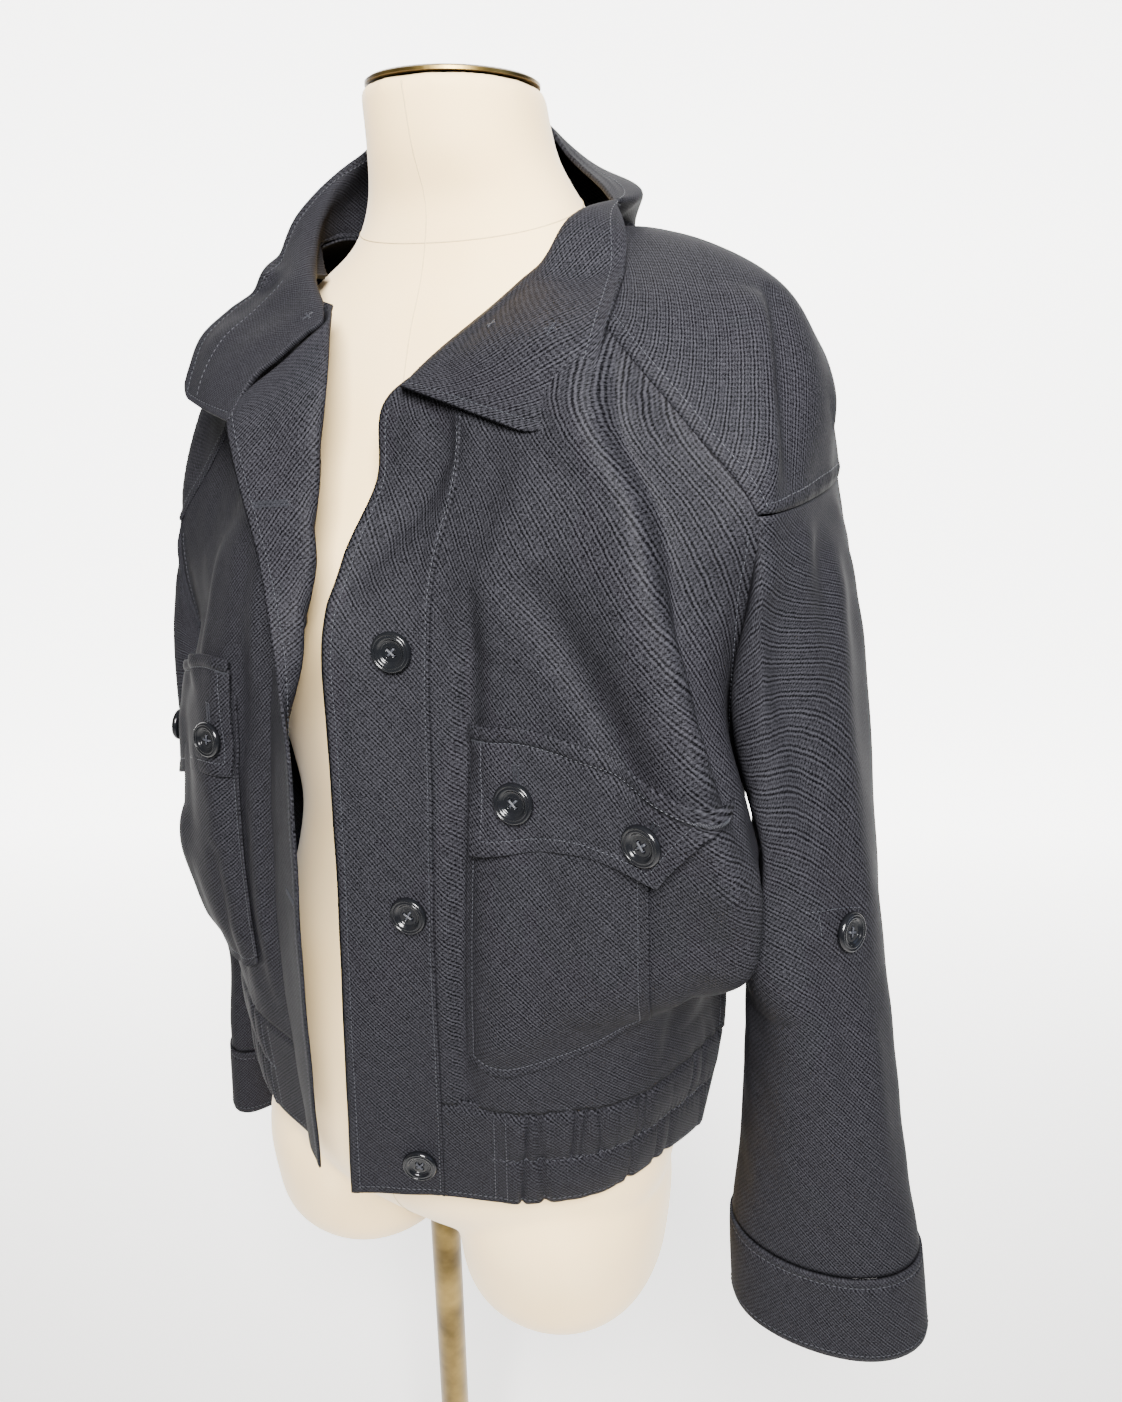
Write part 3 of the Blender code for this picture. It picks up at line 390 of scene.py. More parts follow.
class Surface:
    """A smooth surface through sections: across is 0 to 1 along a section, along is the sections' own scale.

    facing is 1 where across x along points out of the cloth, and -1 where it points in.
    """

    def __init__(self, along, sections, facing=1, samples=41):
        self.along = np.asarray(along, float)
        self.grid = np.array([even(section, samples) for section in sections])
        self.across = np.linspace(0, 1, self.grid.shape[1])
        self.facing = facing
        self.lengths = np.linalg.norm(np.diff(self.grid, axis=1), axis=2).sum(axis=1)

    def width(self, along):
        return curve_at(self.along, self.lengths[:, None], along)[..., 0]

    def at(self, across, along):
        """Points on the surface; it runs on straight beyond its first and last edges."""
        across, along = np.broadcast_arrays(np.asarray(across, float), np.asarray(along, float))
        inside = np.clip(across, 0, 1)
        row, row_weights = spline_weights(self.along, along)
        column, column_weights = spline_weights(self.across, inside)
        chosen = self.grid[row[..., :, None], column[..., None, :]]
        points = np.einsum("...r,...c,...rcx->...x", row_weights, column_weights, chosen)
        out = across != inside
        if out.any():
            edge, level = inside[out], along[out]
            slope = (self.at(edge, level) - self.at(np.abs(edge - 0.03), level)) / 0.03
            points[out] += np.abs(across - inside)[out][:, None] * slope
        return points

    def normal(self, across, along):
        """Unit normals by differences between neighbouring points."""
        low, high = self.along[0], self.along[-1]
        step = 0.004 * (high - low)
        across = np.clip(across, 0, 1)
        side = self.at(np.clip(across + 0.004, 0, 1), along) - self.at(np.clip(across - 0.004, 0, 1), along)
        up = self.at(across, np.clip(along + step, low, high)) - self.at(across, np.clip(along - step, low, high))
        cross = self.facing * np.cross(side, up)
        return cross / np.maximum(np.linalg.norm(cross, axis=-1, keepdims=True), 1e-9)


def clear_of_form(points, gap=FORM_GAP):
    """Points inside the torso's ring, or within gap of it, move straight out from the ring's middle to the gap."""
    half_width, middle, depth = ring_at(TORSO, np.clip(points[..., 2], 0.586, 1.343))
    x, y = points[..., 0], points[..., 1] - middle
    inside = (np.abs(x / half_width) ** TORSO_POWER + np.abs(y / depth) ** TORSO_POWER) ** (1 / TORSO_POWER)
    reach = np.hypot(x, y)
    scale = np.maximum(1.0, (reach / np.maximum(inside, 1e-6) + gap) / np.maximum(reach, 1e-6))
    return np.stack([x * scale, middle + y * scale, points[..., 2]], -1)


def soft(low, high, value):
    """0 below low, 1 above high, and a smooth step between."""
    share = np.clip((value - low) / (high - low), 0, 1)
    return share * share * (3 - 2 * share)


def creases(rows, across, height):
    """Sum of folds. A fold follows the quadratic curve through its start, middle and end. It falls off as a bell
    curve, near wide towards the panel's first edge and far wide on the other side, and fades towards both ends."""
    spot = np.stack(np.broadcast_arrays(across, height), -1)
    total = np.zeros(spot.shape[:-1])
    t = np.linspace(0, 1, 25)[:, None]
    for k in range(len(rows["depth"])):
        ends = [np.array([rows[f"x{i}"][k], rows[f"z{i}"][k]]) for i in range(3)]
        line = (1 - t) * (1 - 2 * t) * ends[0] + 4 * t * (1 - t) * ends[1] + t * (2 * t - 1) * ends[2]
        heading = np.gradient(line, axis=0)
        size = np.linalg.norm(heading, axis=1, keepdims=True)
        heading = heading / size
        nearest = ((spot[..., None, :] - line) ** 2).sum(axis=-1).argmin(axis=-1)
        offset = spot - line[nearest]
        along = (offset * heading[nearest]).sum(axis=-1)
        aside = offset[..., 0] * heading[nearest][..., 1] - offset[..., 1] * heading[nearest][..., 0]
        share = np.clip((nearest + along / size[nearest, 0]) / 24, 0, 1)
        beyond = np.where((nearest == 0) & (along < 0) | (nearest == 24) & (along > 0), along, 0.0)
        width = np.where(aside > 0, rows["near"][k], rows["far"][k])
        bell = np.exp(-((aside**2 + beyond**2) / width**2))
        total += rows["depth"][k] * bell * (1 - (2 * share - 1) ** 4)
    return total


def ripples(across, height, seed, size, depth):
    """Uneven hang of the cloth: seven plane waves about size long, in directions and phases fixed by the seed."""
    draw = np.random.default_rng(seed)
    total = 0.0
    for _ in range(7):
        heading = draw.uniform(-0.9, 0.9)
        length = size * draw.uniform(0.6, 1.6)
        phase = draw.uniform(0, 2 * math.pi)
        total = total + np.sin(2 * math.pi * (across * np.cos(heading) + height * np.sin(heading)) / length + phase)
    return depth * total / 2.6


def felled(distance, width=0.0065, lift=0.0006):
    """A felled edge: the allowance under the cloth lifts it up to the stitch line, which draws it in a little."""
    raised = lift * soft(-0.0002, 0.0010, distance) * (1 - soft(width + 0.0004, width + 0.0022, distance))
    return raised - 0.00045 * np.exp(-(((distance - width) / 0.0009) ** 2))


def gathers(across, seed, spacing=0.017):
    """Elastic gathers: puffs between narrow valleys, |sin|^0.6 of a phase that runs unevenly."""
    draw = np.random.default_rng(seed)
    phase = across / spacing + 0.45 * np.sin(across / 0.021 + draw.uniform(0, 6))
    phase = phase + 0.30 * np.sin(across / 0.047 + draw.uniform(0, 6))
    size = 0.75 + 0.35 * np.sin(across / 0.031 + draw.uniform(0, 6))
    return size * (np.abs(np.sin(math.pi * phase)) ** 0.6 - 0.6)


def fine_near(length, step, marks=(), fine=0.0006, reach=0.0025):
    """Positions from 0 to length, step apart and closer near each mark."""
    places = [np.linspace(0, length, max(2, int(round(length / step)) + 1))]
    for mark in marks:
        places.append(np.arange(max(0.0, mark - reach), min(length, mark + reach) + 1e-9, fine))
    merged = np.unique(np.round(np.concatenate(places), 6))
    keep = np.concatenate([[True], np.diff(merged) > 0.45 * fine])
    keep[-1] = True
    return merged[keep] / length


def with_normals(place, across, height, facing=1, step=0.0006):
    """Points and outward unit normals of a surface function, by differences."""
    side = place(across + step, height) - place(across - step, height)
    up = place(across, height + step) - place(across, height - step)
    normal = facing * np.cross(side, up)
    return place(across, height), normal / np.maximum(np.linalg.norm(normal, axis=-1, keepdims=True), 1e-12)


def cloth_piece(name, points, uv, node, facing=1, wrap=False, thickness=CLOTH):
    """One cut piece: a fine grid with its place in metres on the cloth as UV, given the cloth's thickness."""
    rows, columns = points.shape[:2]
    corners = np.stack(np.broadcast_arrays(*uv), -1).reshape(-1, 2)
    used = grid_faces(rows, corners.shape[0] // rows, flip=facing < 0)
    faces = grid_faces(rows, columns, wrap=wrap, flip=facing < 0)
    piece = mesh_piece(name, points, faces, twill, uv=corners[used.reshape(-1)])
    wall = piece.modifiers.new("Cloth", "SOLIDIFY")
    wall.thickness = thickness
    wall.offset = 0.0
    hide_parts(*([node] if isinstance(node, str) else node))
    return piece


def stitches(name, lines, above=CLOTH / 2, pitch=0.0034, length=0.0026, radius=0.00030):
    """Topstitching: one short bent bead for each stitch, its ends sunk in the cloth, along (points, normals).
    above is how far the cloth's face lies from those points."""
    spots, headings, ups = [], [], []
    for points, normals in lines:
        run = np.concatenate([[0.0], np.cumsum(np.linalg.norm(np.diff(points, axis=0), axis=1))])
        wanted = np.arange(0.5 * pitch, run[-1], pitch)
        spots.append(np.stack([np.interp(wanted, run, points[:, axis]) for axis in range(3)], -1))
        ups.append(np.stack([np.interp(wanted, run, normals[:, axis]) for axis in range(3)], -1))
        ahead = np.stack([np.interp(wanted + 0.0008, run, points[:, axis]) for axis in range(3)], -1)
        behind = np.stack([np.interp(wanted - 0.0008, run, points[:, axis]) for axis in range(3)], -1)
        headings.append(ahead - behind)
    spot, heading, up = (np.concatenate(each) for each in (spots, headings, ups))
    heading /= np.linalg.norm(heading, axis=1, keepdims=True)
    side = np.cross(up, heading)
    side /= np.linalg.norm(side, axis=1, keepdims=True)
    up = np.cross(heading, side)
    rings, sides = 3, 4
    stations = np.array([-0.62, 0.0, 0.62])[:, None] * length / 2
    swell = np.array([0.85, 1.0, 0.85])[:, None] * radius
    angle = np.linspace(0, 2 * math.pi, sides, endpoint=False)[None, :]
    along = np.concatenate([np.broadcast_to(stations, (rings, sides)).ravel(), [-length / 2, length / 2]])
    aside = np.concatenate([(swell * np.cos(angle)).ravel(), [0, 0]])
    rise = np.concatenate([(swell * np.sin(angle)).ravel(), [-radius, -radius]]) + above + 0.3 * radius
    points = (
        spot[:, None]
        + heading[:, None] * along[None, :, None]
        + side[:, None] * aside[None, :, None]
        + up[:, None] * rise[None, :, None]
    )
    around, tips, top = np.arange(sides), rings * sides, (rings - 1) * sides
    first = np.stack([np.full(sides, tips), np.roll(around, -1), around], -1)
    last = np.stack([np.full(sides, tips + 1), top + around, top + np.roll(around, -1)], -1)
    quads = grid_faces(rings, sides, wrap=True)
    split = np.concatenate([quads[:, [0, 1, 2]], quads[:, [0, 2, 3]], first, last])
    faces = (np.arange(len(spot))[:, None, None] * (tips + 2) + split).reshape(-1, 3)
    return mesh_piece(name, points, faces, thread)


twill, tree, shader = finish("Linen-look twill, black", 0.62, Specular_IOR_Level=0.03)
# The threads lie 0.85 mm apart, the twill's diagonal repeats every three threads. A real thread is about 0.4 mm, so
# this is drawn coarser to show, with a dot where two float over two. Thick and thin places run along both thread
# systems, and lint catches on it.
THREAD = 0.00085
cloth_uv = add(tree, "ShaderNodeUVMap", uv_map="Cloth")
waver = add(tree, "ShaderNodeTexNoise", {"Vector": cloth_uv, "Scale": 150.0, "Detail": 2.0})
shift = add(tree, "ShaderNodeVectorMath", (waver.outputs["Color"], (0.5, 0.5, 0.5)), operation="SUBTRACT")
shift = add(tree, "ShaderNodeVectorMath", {0: shift, "Scale": 0.0013}, operation="SCALE")
moved = add(tree, "ShaderNodeVectorMath", (cloth_uv, shift), operation="ADD")
turns = add(tree, "ShaderNodeVectorMath", {0: moved, "Scale": 2 * math.pi / THREAD}, operation="SCALE")
part = add(tree, "ShaderNodeSeparateXYZ", (turns,))
warp = add(tree, "ShaderNodeMath", (part.outputs["X"],), operation="COSINE")
weft = add(tree, "ShaderNodeMath", (part.outputs["Y"],), operation="COSINE")
both = add(tree, "ShaderNodeMath", (part.outputs["X"], part.outputs["Y"]), operation="ADD")
third = add(tree, "ShaderNodeMath", (both, 3.0), operation="DIVIDE")
wave = add(tree, "ShaderNodeMath", (third,), operation="SINE")
float_over = add(tree, "ShaderNodeMapRange", {"Value": wave, "From Min": -0.5, "From Max": 0.6})
warp_top = add(tree, "ShaderNodeMath", (warp, 0.14, 0.76), operation="MULTIPLY_ADD")
weft_top = add(tree, "ShaderNodeMath", (weft, 0.10, 0.24), operation="MULTIPLY_ADD")
diagonal = add(tree, "ShaderNodeMix", {"Factor": float_over, "A": weft_top, "B": warp_top}, data_type="FLOAT")
quarter = add(tree, "ShaderNodeVectorMath", {0: turns, "Scale": 0.25}, operation="SCALE")
dot_part = add(tree, "ShaderNodeSeparateXYZ", (quarter,))
dot_x = add(tree, "ShaderNodeMath", (dot_part.outputs["X"],), operation="COSINE")
dot_y = add(tree, "ShaderNodeMath", (dot_part.outputs["Y"],), operation="COSINE")
checker = add(tree, "ShaderNodeMath", (dot_x, dot_y), operation="MULTIPLY")
dots = add(tree, "ShaderNodeMapRange", {"Value": checker, "From Min": -0.7, "From Max": 0.7})
weave = add(tree, "ShaderNodeMix", {"Factor": 0.36, "A": diagonal, "B": dots}, data_type="FLOAT")
slub_across = add(tree, "ShaderNodeMapping", {"Vector": cloth_uv, "Scale": (110.0, 1300.0, 1.0)})
slub_up = add(tree, "ShaderNodeMapping", {"Vector": cloth_uv, "Scale": (1300.0, 110.0, 1.0)})
slub_one = add(tree, "ShaderNodeTexNoise", {"Vector": slub_across, "Scale": 1.0, "Detail": 2.0})
slub_two = add(tree, "ShaderNodeTexNoise", {"Vector": slub_up, "Scale": 1.0, "Detail": 2.0})
slub = add(tree, "ShaderNodeMath", (slub_one, slub_two), operation="ADD")
uneven = add(tree, "ShaderNodeMapRange", {"Value": slub, "From Min": 0.72, "From Max": 1.34})
yarn = add(tree, "ShaderNodeMix", {"Factor": 0.24, "A": weave, "B": uneven}, data_type="FLOAT")
fibres = add(tree, "ShaderNodeTexNoise", {"Vector": cloth_uv, "Scale": 1300.0, "Detail": 1.0})
fibre = add(tree, "ShaderNodeMapRange", {"Value": fibres, "From Min": 0.32, "From Max": 0.68})
mixed = add(tree, "ShaderNodeMix", {"Factor": 0.26, "A": yarn, "B": fibre}, data_type="FLOAT")
ramp = add(tree, "ShaderNodeValToRGB", {"Fac": mixed})
ramp.color_ramp.elements[0].position, ramp.color_ramp.elements[0].color = 0.30, linear("#020203")
ramp.color_ramp.elements[1].position, ramp.color_ramp.elements[1].color = 0.78, linear("#2b2b2f")
lint_at = add(tree, "ShaderNodeTexNoise", {"Vector": cloth_uv, "Scale": 520.0, "Detail": 1.0})
lint = add(tree, "ShaderNodeMapRange", {"Value": lint_at, "From Min": 0.80, "From Max": 0.86, "To Max": 0.6})
surface_colour = add(tree, "ShaderNodeMix", data_type="RGBA")
tree.links.new(lint.outputs[0], surface_colour.inputs["Factor"])
tree.links.new(ramp.outputs["Color"], surface_colour.inputs[6])
surface_colour.inputs[7].default_value = linear("#4a4c52")
tree.links.new(surface_colour.outputs[2], shader.inputs["Base Color"])
bump = add(tree, "ShaderNodeBump", {"Strength": 0.32, "Distance": 0.00040, "Height": yarn})
tree.links.new(bump.outputs["Normal"], shader.inputs["Normal"])

thread, tree, shader = finish("Polyester sewing thread, black", 0.50, Specular_IOR_Level=0.35)
# Two plies twist round each other every 0.6 mm, which breaks the thread's shine.
place = add(tree, "ShaderNodeTexCoord").outputs["Object"]
plies = add(tree, "ShaderNodeTexNoise", {"Vector": place, "Scale": 1600.0})
ramp = add(tree, "ShaderNodeValToRGB", {"Fac": plies})
ramp.color_ramp.elements[0].color, ramp.color_ramp.elements[1].color = linear("#121316"), linear("#303238")
tree.links.new(ramp.outputs["Color"], shader.inputs["Base Color"])

RIGHT_FRONT = table(
    "height line_x line_y line_z chest_x chest_y chest_z side_x side_y side_z seam_x seam_y seam_z",
    (683, -56, -78, 683, -102, -62, 683, -158, -16, 683, -186, 60, 683),
    (765, -57, -82, 765, -106, -66, 767, -162, -20, 771, -196, 55, 775),
    (840, -58, -82, 840, -113, -70, 842, -176, -30, 842, -200, 50, 846),
    (870, -58, -81, 870, -116, -70, 871, -182, -32, 871, -202, 48, 876),
    (900, -58, -80, 900, -116, -69, 900, -181, -30, 901, -202, 46, 905),
    (955, -56, -77, 955, -115, -66, 955, -177, -28, 955, -198, 42, 955),
    (964, -55, -76, 964, -114, -65, 964, -176, -28, 964, -198, 36, 960),
    (1010, -53, -72, 1010, -109, -61, 1008, -168, -25, 1000, -200, 28, 988),
    (1060, -47, -66, 1060, -102, -53, 1056, -156, -18, 1040, -204, 18, 1022),
    (1100, -43, -57, 1100, -92, -48, 1094, -144, -20, 1072, -204, 12, 1056),
    (1136, -40, -47, 1138, -80, -40, 1130, -124, -18, 1108, -198, 10, 1090),
    (1175, -38, -36, 1176, -68, -30, 1168, -98, -14, 1150, -158, 4, 1132),
    (1210, -38, -24, 1204, -58, -20, 1200, -78, -8, 1190, -126, 2, 1172),
    (1245, -46, 0, 1230, -58, 2, 1233, -76, 8, 1238, -103, 14, 1243),
)
BACK = table(
    "height left_x left_y left_z blade_x blade_y blade_z centre_x centre_y centre_z",
    (683, 186, 60, 683, 120, 136, 683, 0, 158, 683),
    (765, 198, 55, 775, 132, 148, 768, 0, 172, 765),
    (840, 198, 50, 846, 140, 160, 843, 0, 186, 840),
    (870, 204, 49, 876, 143, 163, 872, 0, 189, 870),
    (900, 205, 48, 905, 145, 166, 902, 0, 192, 900),
    (955, 203, 46, 955, 146, 168, 958, 0, 194, 960),
    (964, 203, 56, 964, 146, 168, 966, 0, 194, 968),
    (1010, 202, 92, 1005, 142, 170, 1010, 0, 195, 1010),
    (1060, 205, 124, 1054, 140, 172, 1060, 0, 194, 1060),
    (1100, 209, 142, 1100, 136, 174, 1104, 0, 193, 1105),
    (1136, 213, 150, 1136, 130, 174, 1145, 0, 190, 1150),
    (1175, 178, 155, 1180, 108, 172, 1190, 0, 184, 1195),
    (1210, 134, 153, 1222, 82, 165, 1230, 0, 175, 1236),
    (1245, 80, 138, 1268, 46, 152, 1276, 0, 160, 1280),
)
MIRROR = np.array([-1.0, 1.0, 1.0])
back_left = points_of(BACK, "left", "blade", "centre")
back_right = back_left[:, [1, 0]] * MIRROR
below_arm = BACK["height"] < UNDERARM + 1e-6
back_right[below_arm, 1] = points_of(RIGHT_FRONT, "seam")[below_arm, 0]
back_surface = Surface(BACK["height"], np.concatenate([back_left, back_right], axis=1))
BACK_CREASES = table(
    "x0 z0 x1 z1 x2 z2 near far depth",
    (90, 1120, 108, 980, 120, 800, 20, 26, -5),
    (150, 1000, 160, 900, 150, 790, 14, 22, 4),
    (230, 1000, 238, 900, 236, 790, 18, 18, 5),
    (300, 960, 296, 880, 300, 785, 16, 20, -4),
    (380, 1110, 370, 950, 350, 800, 22, 22, -5),
    (440, 1000, 452, 900, 450, 790, 14, 18, 4),
    (40, 1080, 60, 1010, 66, 930, 12, 16, 3),
    (410, 1080, 395, 1010, 390, 930, 12, 16, 3),
)


def bloused(across, height, seed):
    """The cloth above the band rises and falls with the band's gathers, fading out over 20 mm."""
    wave = gathers(across + 0.25 * (height - BAND_TOP), seed, 0.013)
    return 0.0017 * wave * np.exp(-np.clip(height - BAND_TOP, 0, 1) / 0.016)


def back_relief(across, height):
    width = back_surface.width(height)
    edge = np.minimum(across, width - across)
    relief = creases(BACK_CREASES, across, height) + ripples(across, height, 11, 0.055, 0.0005)
    return relief * soft(0, 0.02, edge) + bloused(across, height, 21) + felled(edge)


def back_place(across, height):
    share = across / back_surface.width(height)
    point = back_surface.at(share, height)
    return clear_of_form(point + back_surface.normal(share, height) * back_relief(across, height)[..., None])


def panel_grid(surface, place, start, end, low, high, step, marks_across=(), marks_up=()):
    """A fine grid over part of a panel, from start to end across at each height, and its UV in metres."""
    height = low + (high - low) * fine_near(high - low, step, marks_up)[:, None]
    first = start(height) if callable(start) else np.full_like(height, start)
    last = end(height) if callable(end) else np.full_like(height, end)
    share = fine_near(float((last - first).max()), step, marks_across)[None, :]
    across = first + (last - first) * share
    height = np.broadcast_to(height, across.shape)
    return place(across, height), (across, height)


SEAM_GAP = 0.0004
UNDER_SEAM = 0.0006  # how far a piece runs on under the seam beside it
points, uv = panel_grid(
    back_surface, back_place, -UNDER_SEAM, lambda h: back_surface.width(h) + UNDER_SEAM, BAND_TOP - UNDER_SEAM,
    NECK_SEAM, 0.0036, marks_across=(0.0065, 0.569),
)
back = cloth_piece("back_panel", points, uv, "back")


def line_on(place, across, height, facing=1, step=0.0006):
    """A line on a surface as points and normals; one of the two coordinates may be a single number."""
    across, height = np.broadcast_arrays(np.asarray(across, float), np.asarray(height, float))
    return with_normals(place, across, height, facing, step)


def declare(piece, on=()):
    """Read the flat cut of a piece from its own pattern (its UV map, in metres); nothing is kept or stated from it."""
    uv = np.empty(2 * len(piece.data.loops))
    piece.data.uv_layers[0].uv.foreach_get("vector", uv)
    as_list(on)


def row_heights(low, high, step=0.004):
    return np.linspace(low, high, int((high - low) / step))


back_lines = [
    line_on(back_place, 0.0065, row_heights(BAND_TOP + 0.002, UNDERARM)),
    line_on(
        back_place,
        back_surface.width(row_heights(BAND_TOP + 0.002, UNDERARM)) - 0.0065,
        row_heights(BAND_TOP + 0.002, UNDERARM),
    ),
]
back_thread = stitches("back_stitches", back_lines)
declare(back, form)


# ---------------------------------------------------------------- fronts
# Each front is one piece of the twill, cut full, bloused over the band and felled to the sleeve at the armhole. The
# left one stands forward of the form and breaks back along one long crease. The right one hangs closer.

PLACKET_WIDTH, FLAT_END = 0.062, 0.036
GATHER_START = {1: PLACKET_WIDTH + FLAT_END, -1: FLAT_END}  # where the elastic starts on the left and right fronts
LEFT_FRONT = table(
    "height edge_x edge_y edge_z band_x band_y band_z chest_x chest_y chest_z fold_x fold_y fold_z seam_x seam_y seam_z",
    (683, 2, -106, 683, 59, -80, 683, 106, -62, 683, 150, -26, 683, 186, 60, 683),
    (765, 4, -104, 765, 62, -85, 765, 114, -72, 768, 170, -32, 772, 198, 55, 775),
    (840, 4, -100, 836, 63, -87, 838, 116, -80, 840, 188, -37, 842, 198, 50, 846),
    (870, 4, -98, 868, 63, -87, 869, 118, -82, 871, 216, -48, 872, 204, 49, 876),
    (900, 4, -96, 900, 64, -86, 900, 120, -82, 902, 233, -54, 900, 205, 48, 905),
    (955, 4, -94, 958, 64, -82, 958, 122, -80, 958, 237, -64, 954, 203, 46, 955),
    (964, 4, -94, 966, 64, -81, 966, 122, -80, 966, 236, -65, 963, 203, 36, 964),
    (1010, 3, -92, 1010, 64, -77, 1010, 120, -77, 1008, 226, -70, 1006, 202, 10, 1005),
    (1060, 3, -89, 1060, 64, -74, 1060, 114, -75, 1060, 206, -72, 1056, 211, -14, 1052),
    (1100, 4, -70, 1099, 62, -68, 1100, 105, -73, 1100, 190, -71, 1098, 220, -30, 1096),
    (1136, 12, -44, 1138, 58, -53, 1140, 98, -64, 1140, 172, -66, 1139, 226, -42, 1137),
    (1175, 14, -36, 1178, 50, -43, 1176, 86, -53, 1176, 150, -58, 1178, 190, -42, 1177),
    (1210, 44, -26, 1202, 64, -32, 1204, 88, -40, 1206, 122, -44, 1209, 151, -34, 1212),
    (1245, 82, 10, 1240, 87, 4, 1240, 92, 2, 1241, 98, 4, 1242, 103, 10, 1243),
)
left_surface = Surface(LEFT_FRONT["height"], points_of(LEFT_FRONT, "edge", "band", "chest", "fold", "seam"))
right_surface = Surface(RIGHT_FRONT["height"], points_of(RIGHT_FRONT, "line", "chest", "side", "seam"), facing=-1)
LEFT_CREASES = table(
    "x0 z0 x1 z1 x2 z2 near far depth",
    (90, 1095, 77, 950, 77, 740, 5, 12, -8),
    (96, 1218, 185, 1100, 235, 925, 28, 5, 11),
    (108, 1214, 198, 1098, 245, 945, 7, 18, -9),
    (84, 1060, 104, 1108, 128, 1150, 22, 22, 4),
    (58, 1174, 34, 1128, 2, 1078, 14, 12, -6),
    (118, 1108, 148, 1060, 192, 1004, 11, 16, -6),
    (112, 1170, 120, 1110, 118, 1050, 18, 18, 2),
    (104, 1150, 98, 1090, 96, 1040, 9, 12, 2),
    (232, 1000, 240, 930, 236, 800, 14, 16, 7),
    (262, 960, 276, 880, 270, 790, 10, 14, -4),
    (215, 900, 214, 850, 206, 780, 8, 10, -3),
    (300, 940, 306, 880, 300, 790, 10, 12, 3),
    (22, 900, 26, 800, 24, 700, 12, 14, 1.2),
    (50, 1150, 56, 1120, 60, 1060, 7, 8, 1.2),
)
RIGHT_CREASES = table(
    "x0 z0 x1 z1 x2 z2 near far depth",
    (30, 1060, 38, 930, 34, 790, 12, 14, -5),
    (112, 1070, 108, 980, 100, 890, 18, 18, -4),
    (122, 900, 116, 850, 108, 785, 12, 13, 4),
    (70, 1120, 84, 1060, 92, 1000, 14, 16, 3),
    (150, 960, 158, 880, 150, 790, 12, 14, -4),
    (18, 1130, 22, 1070, 20, 1010, 8, 10, 2.5),
    (16, 960, 18, 880, 16, 790, 6, 9, 2.5),
    (60, 900, 58, 850, 60, 790, 8, 8, -3),
)


def panel_place(surface, folds, seed, smooth=False):
    """Where a front's cloth lies: its section, its creases, an uneven hang, the blousing and the armhole's felling."""

    def place(across, height):
        width = surface.width(height)
        share = across / width
        edge = width - across
        relief = creases(folds, across, height)
        if not smooth:
            armhole = 1 - soft(SHOULDER_POINT - 0.012, SHOULDER_POINT, height)
            relief = relief * soft(0, 0.02, edge) + ripples(across, height, seed, 0.05, 0.0004) * soft(0, 0.02, edge)
            gathered = soft(GATHER_START[surface.facing] - 0.004, GATHER_START[surface.facing] + 0.012, across)
            relief = relief + felled(edge + 0.0012) * armhole + bloused(across, height, seed + 10) * gathered
        point = surface.at(share, height) + surface.normal(share, height) * relief[..., None]
        return clear_of_form(point)

    return place


left_place = panel_place(left_surface, LEFT_CREASES, 3)
right_place = panel_place(right_surface, RIGHT_CREASES, 5)


def placket_edge(height):
    """Where the left placket's seam runs: straight up, then in along the neckline."""
    return PLACKET_WIDTH * np.clip((1.225 - height) / (1.225 - 1.176), 0, 1)


def panel_end(surface):
    """A front ends just past the armhole, over the sleeve, and at the raglan seam, under the shoulder."""
    return lambda h: surface.width(h) + 0.0012 * soft(UNDERARM - 0.004, UNDERARM + 0.010, h) - 0.0004


points, uv = panel_grid(
    left_surface, left_place, lambda h: placket_edge(h) - 0.001, panel_end(left_surface), BAND_TOP - 0.0006,
    NECK_SEAM - 0.001, 0.0030,
)
left_front = cloth_piece("left_front_panel", points, uv, "left_front")
points, uv = panel_grid(
    right_surface, right_place, -0.002, panel_end(right_surface), BAND_TOP - 0.0006, NECK_SEAM - 0.001, 0.0030
)
right_front = cloth_piece("right_front_panel", points, uv, "right_front", facing=-1)
low_side = row_heights(BAND_TOP + 0.003, UNDERARM - 0.004)
armhole = row_heights(UNDERARM + 0.004, SHOULDER_POINT - 0.008)
left_thread = stitches(
    "left_front_stitches",
    [
        line_on(left_place, left_surface.width(low_side) - 0.0065, low_side),
        line_on(left_place, left_surface.width(armhole) - 0.0065, armhole),
    ],
)
right_thread = stitches(
    "right_front_stitches",
    [
        line_on(right_place, right_surface.width(low_side) - 0.0065, low_side, -1),
        line_on(right_place, right_surface.width(armhole) - 0.0065, armhole, -1),
    ],
)
declare(left_front, form)
declare(right_front, form)


# ---------------------------------------------------------------- plackets
# A placket is a strip folded double over interlining and topstitched along both edges. The left one lies flat and
# carries the buttons. The right one is turned out above the break, so that its facing shows.


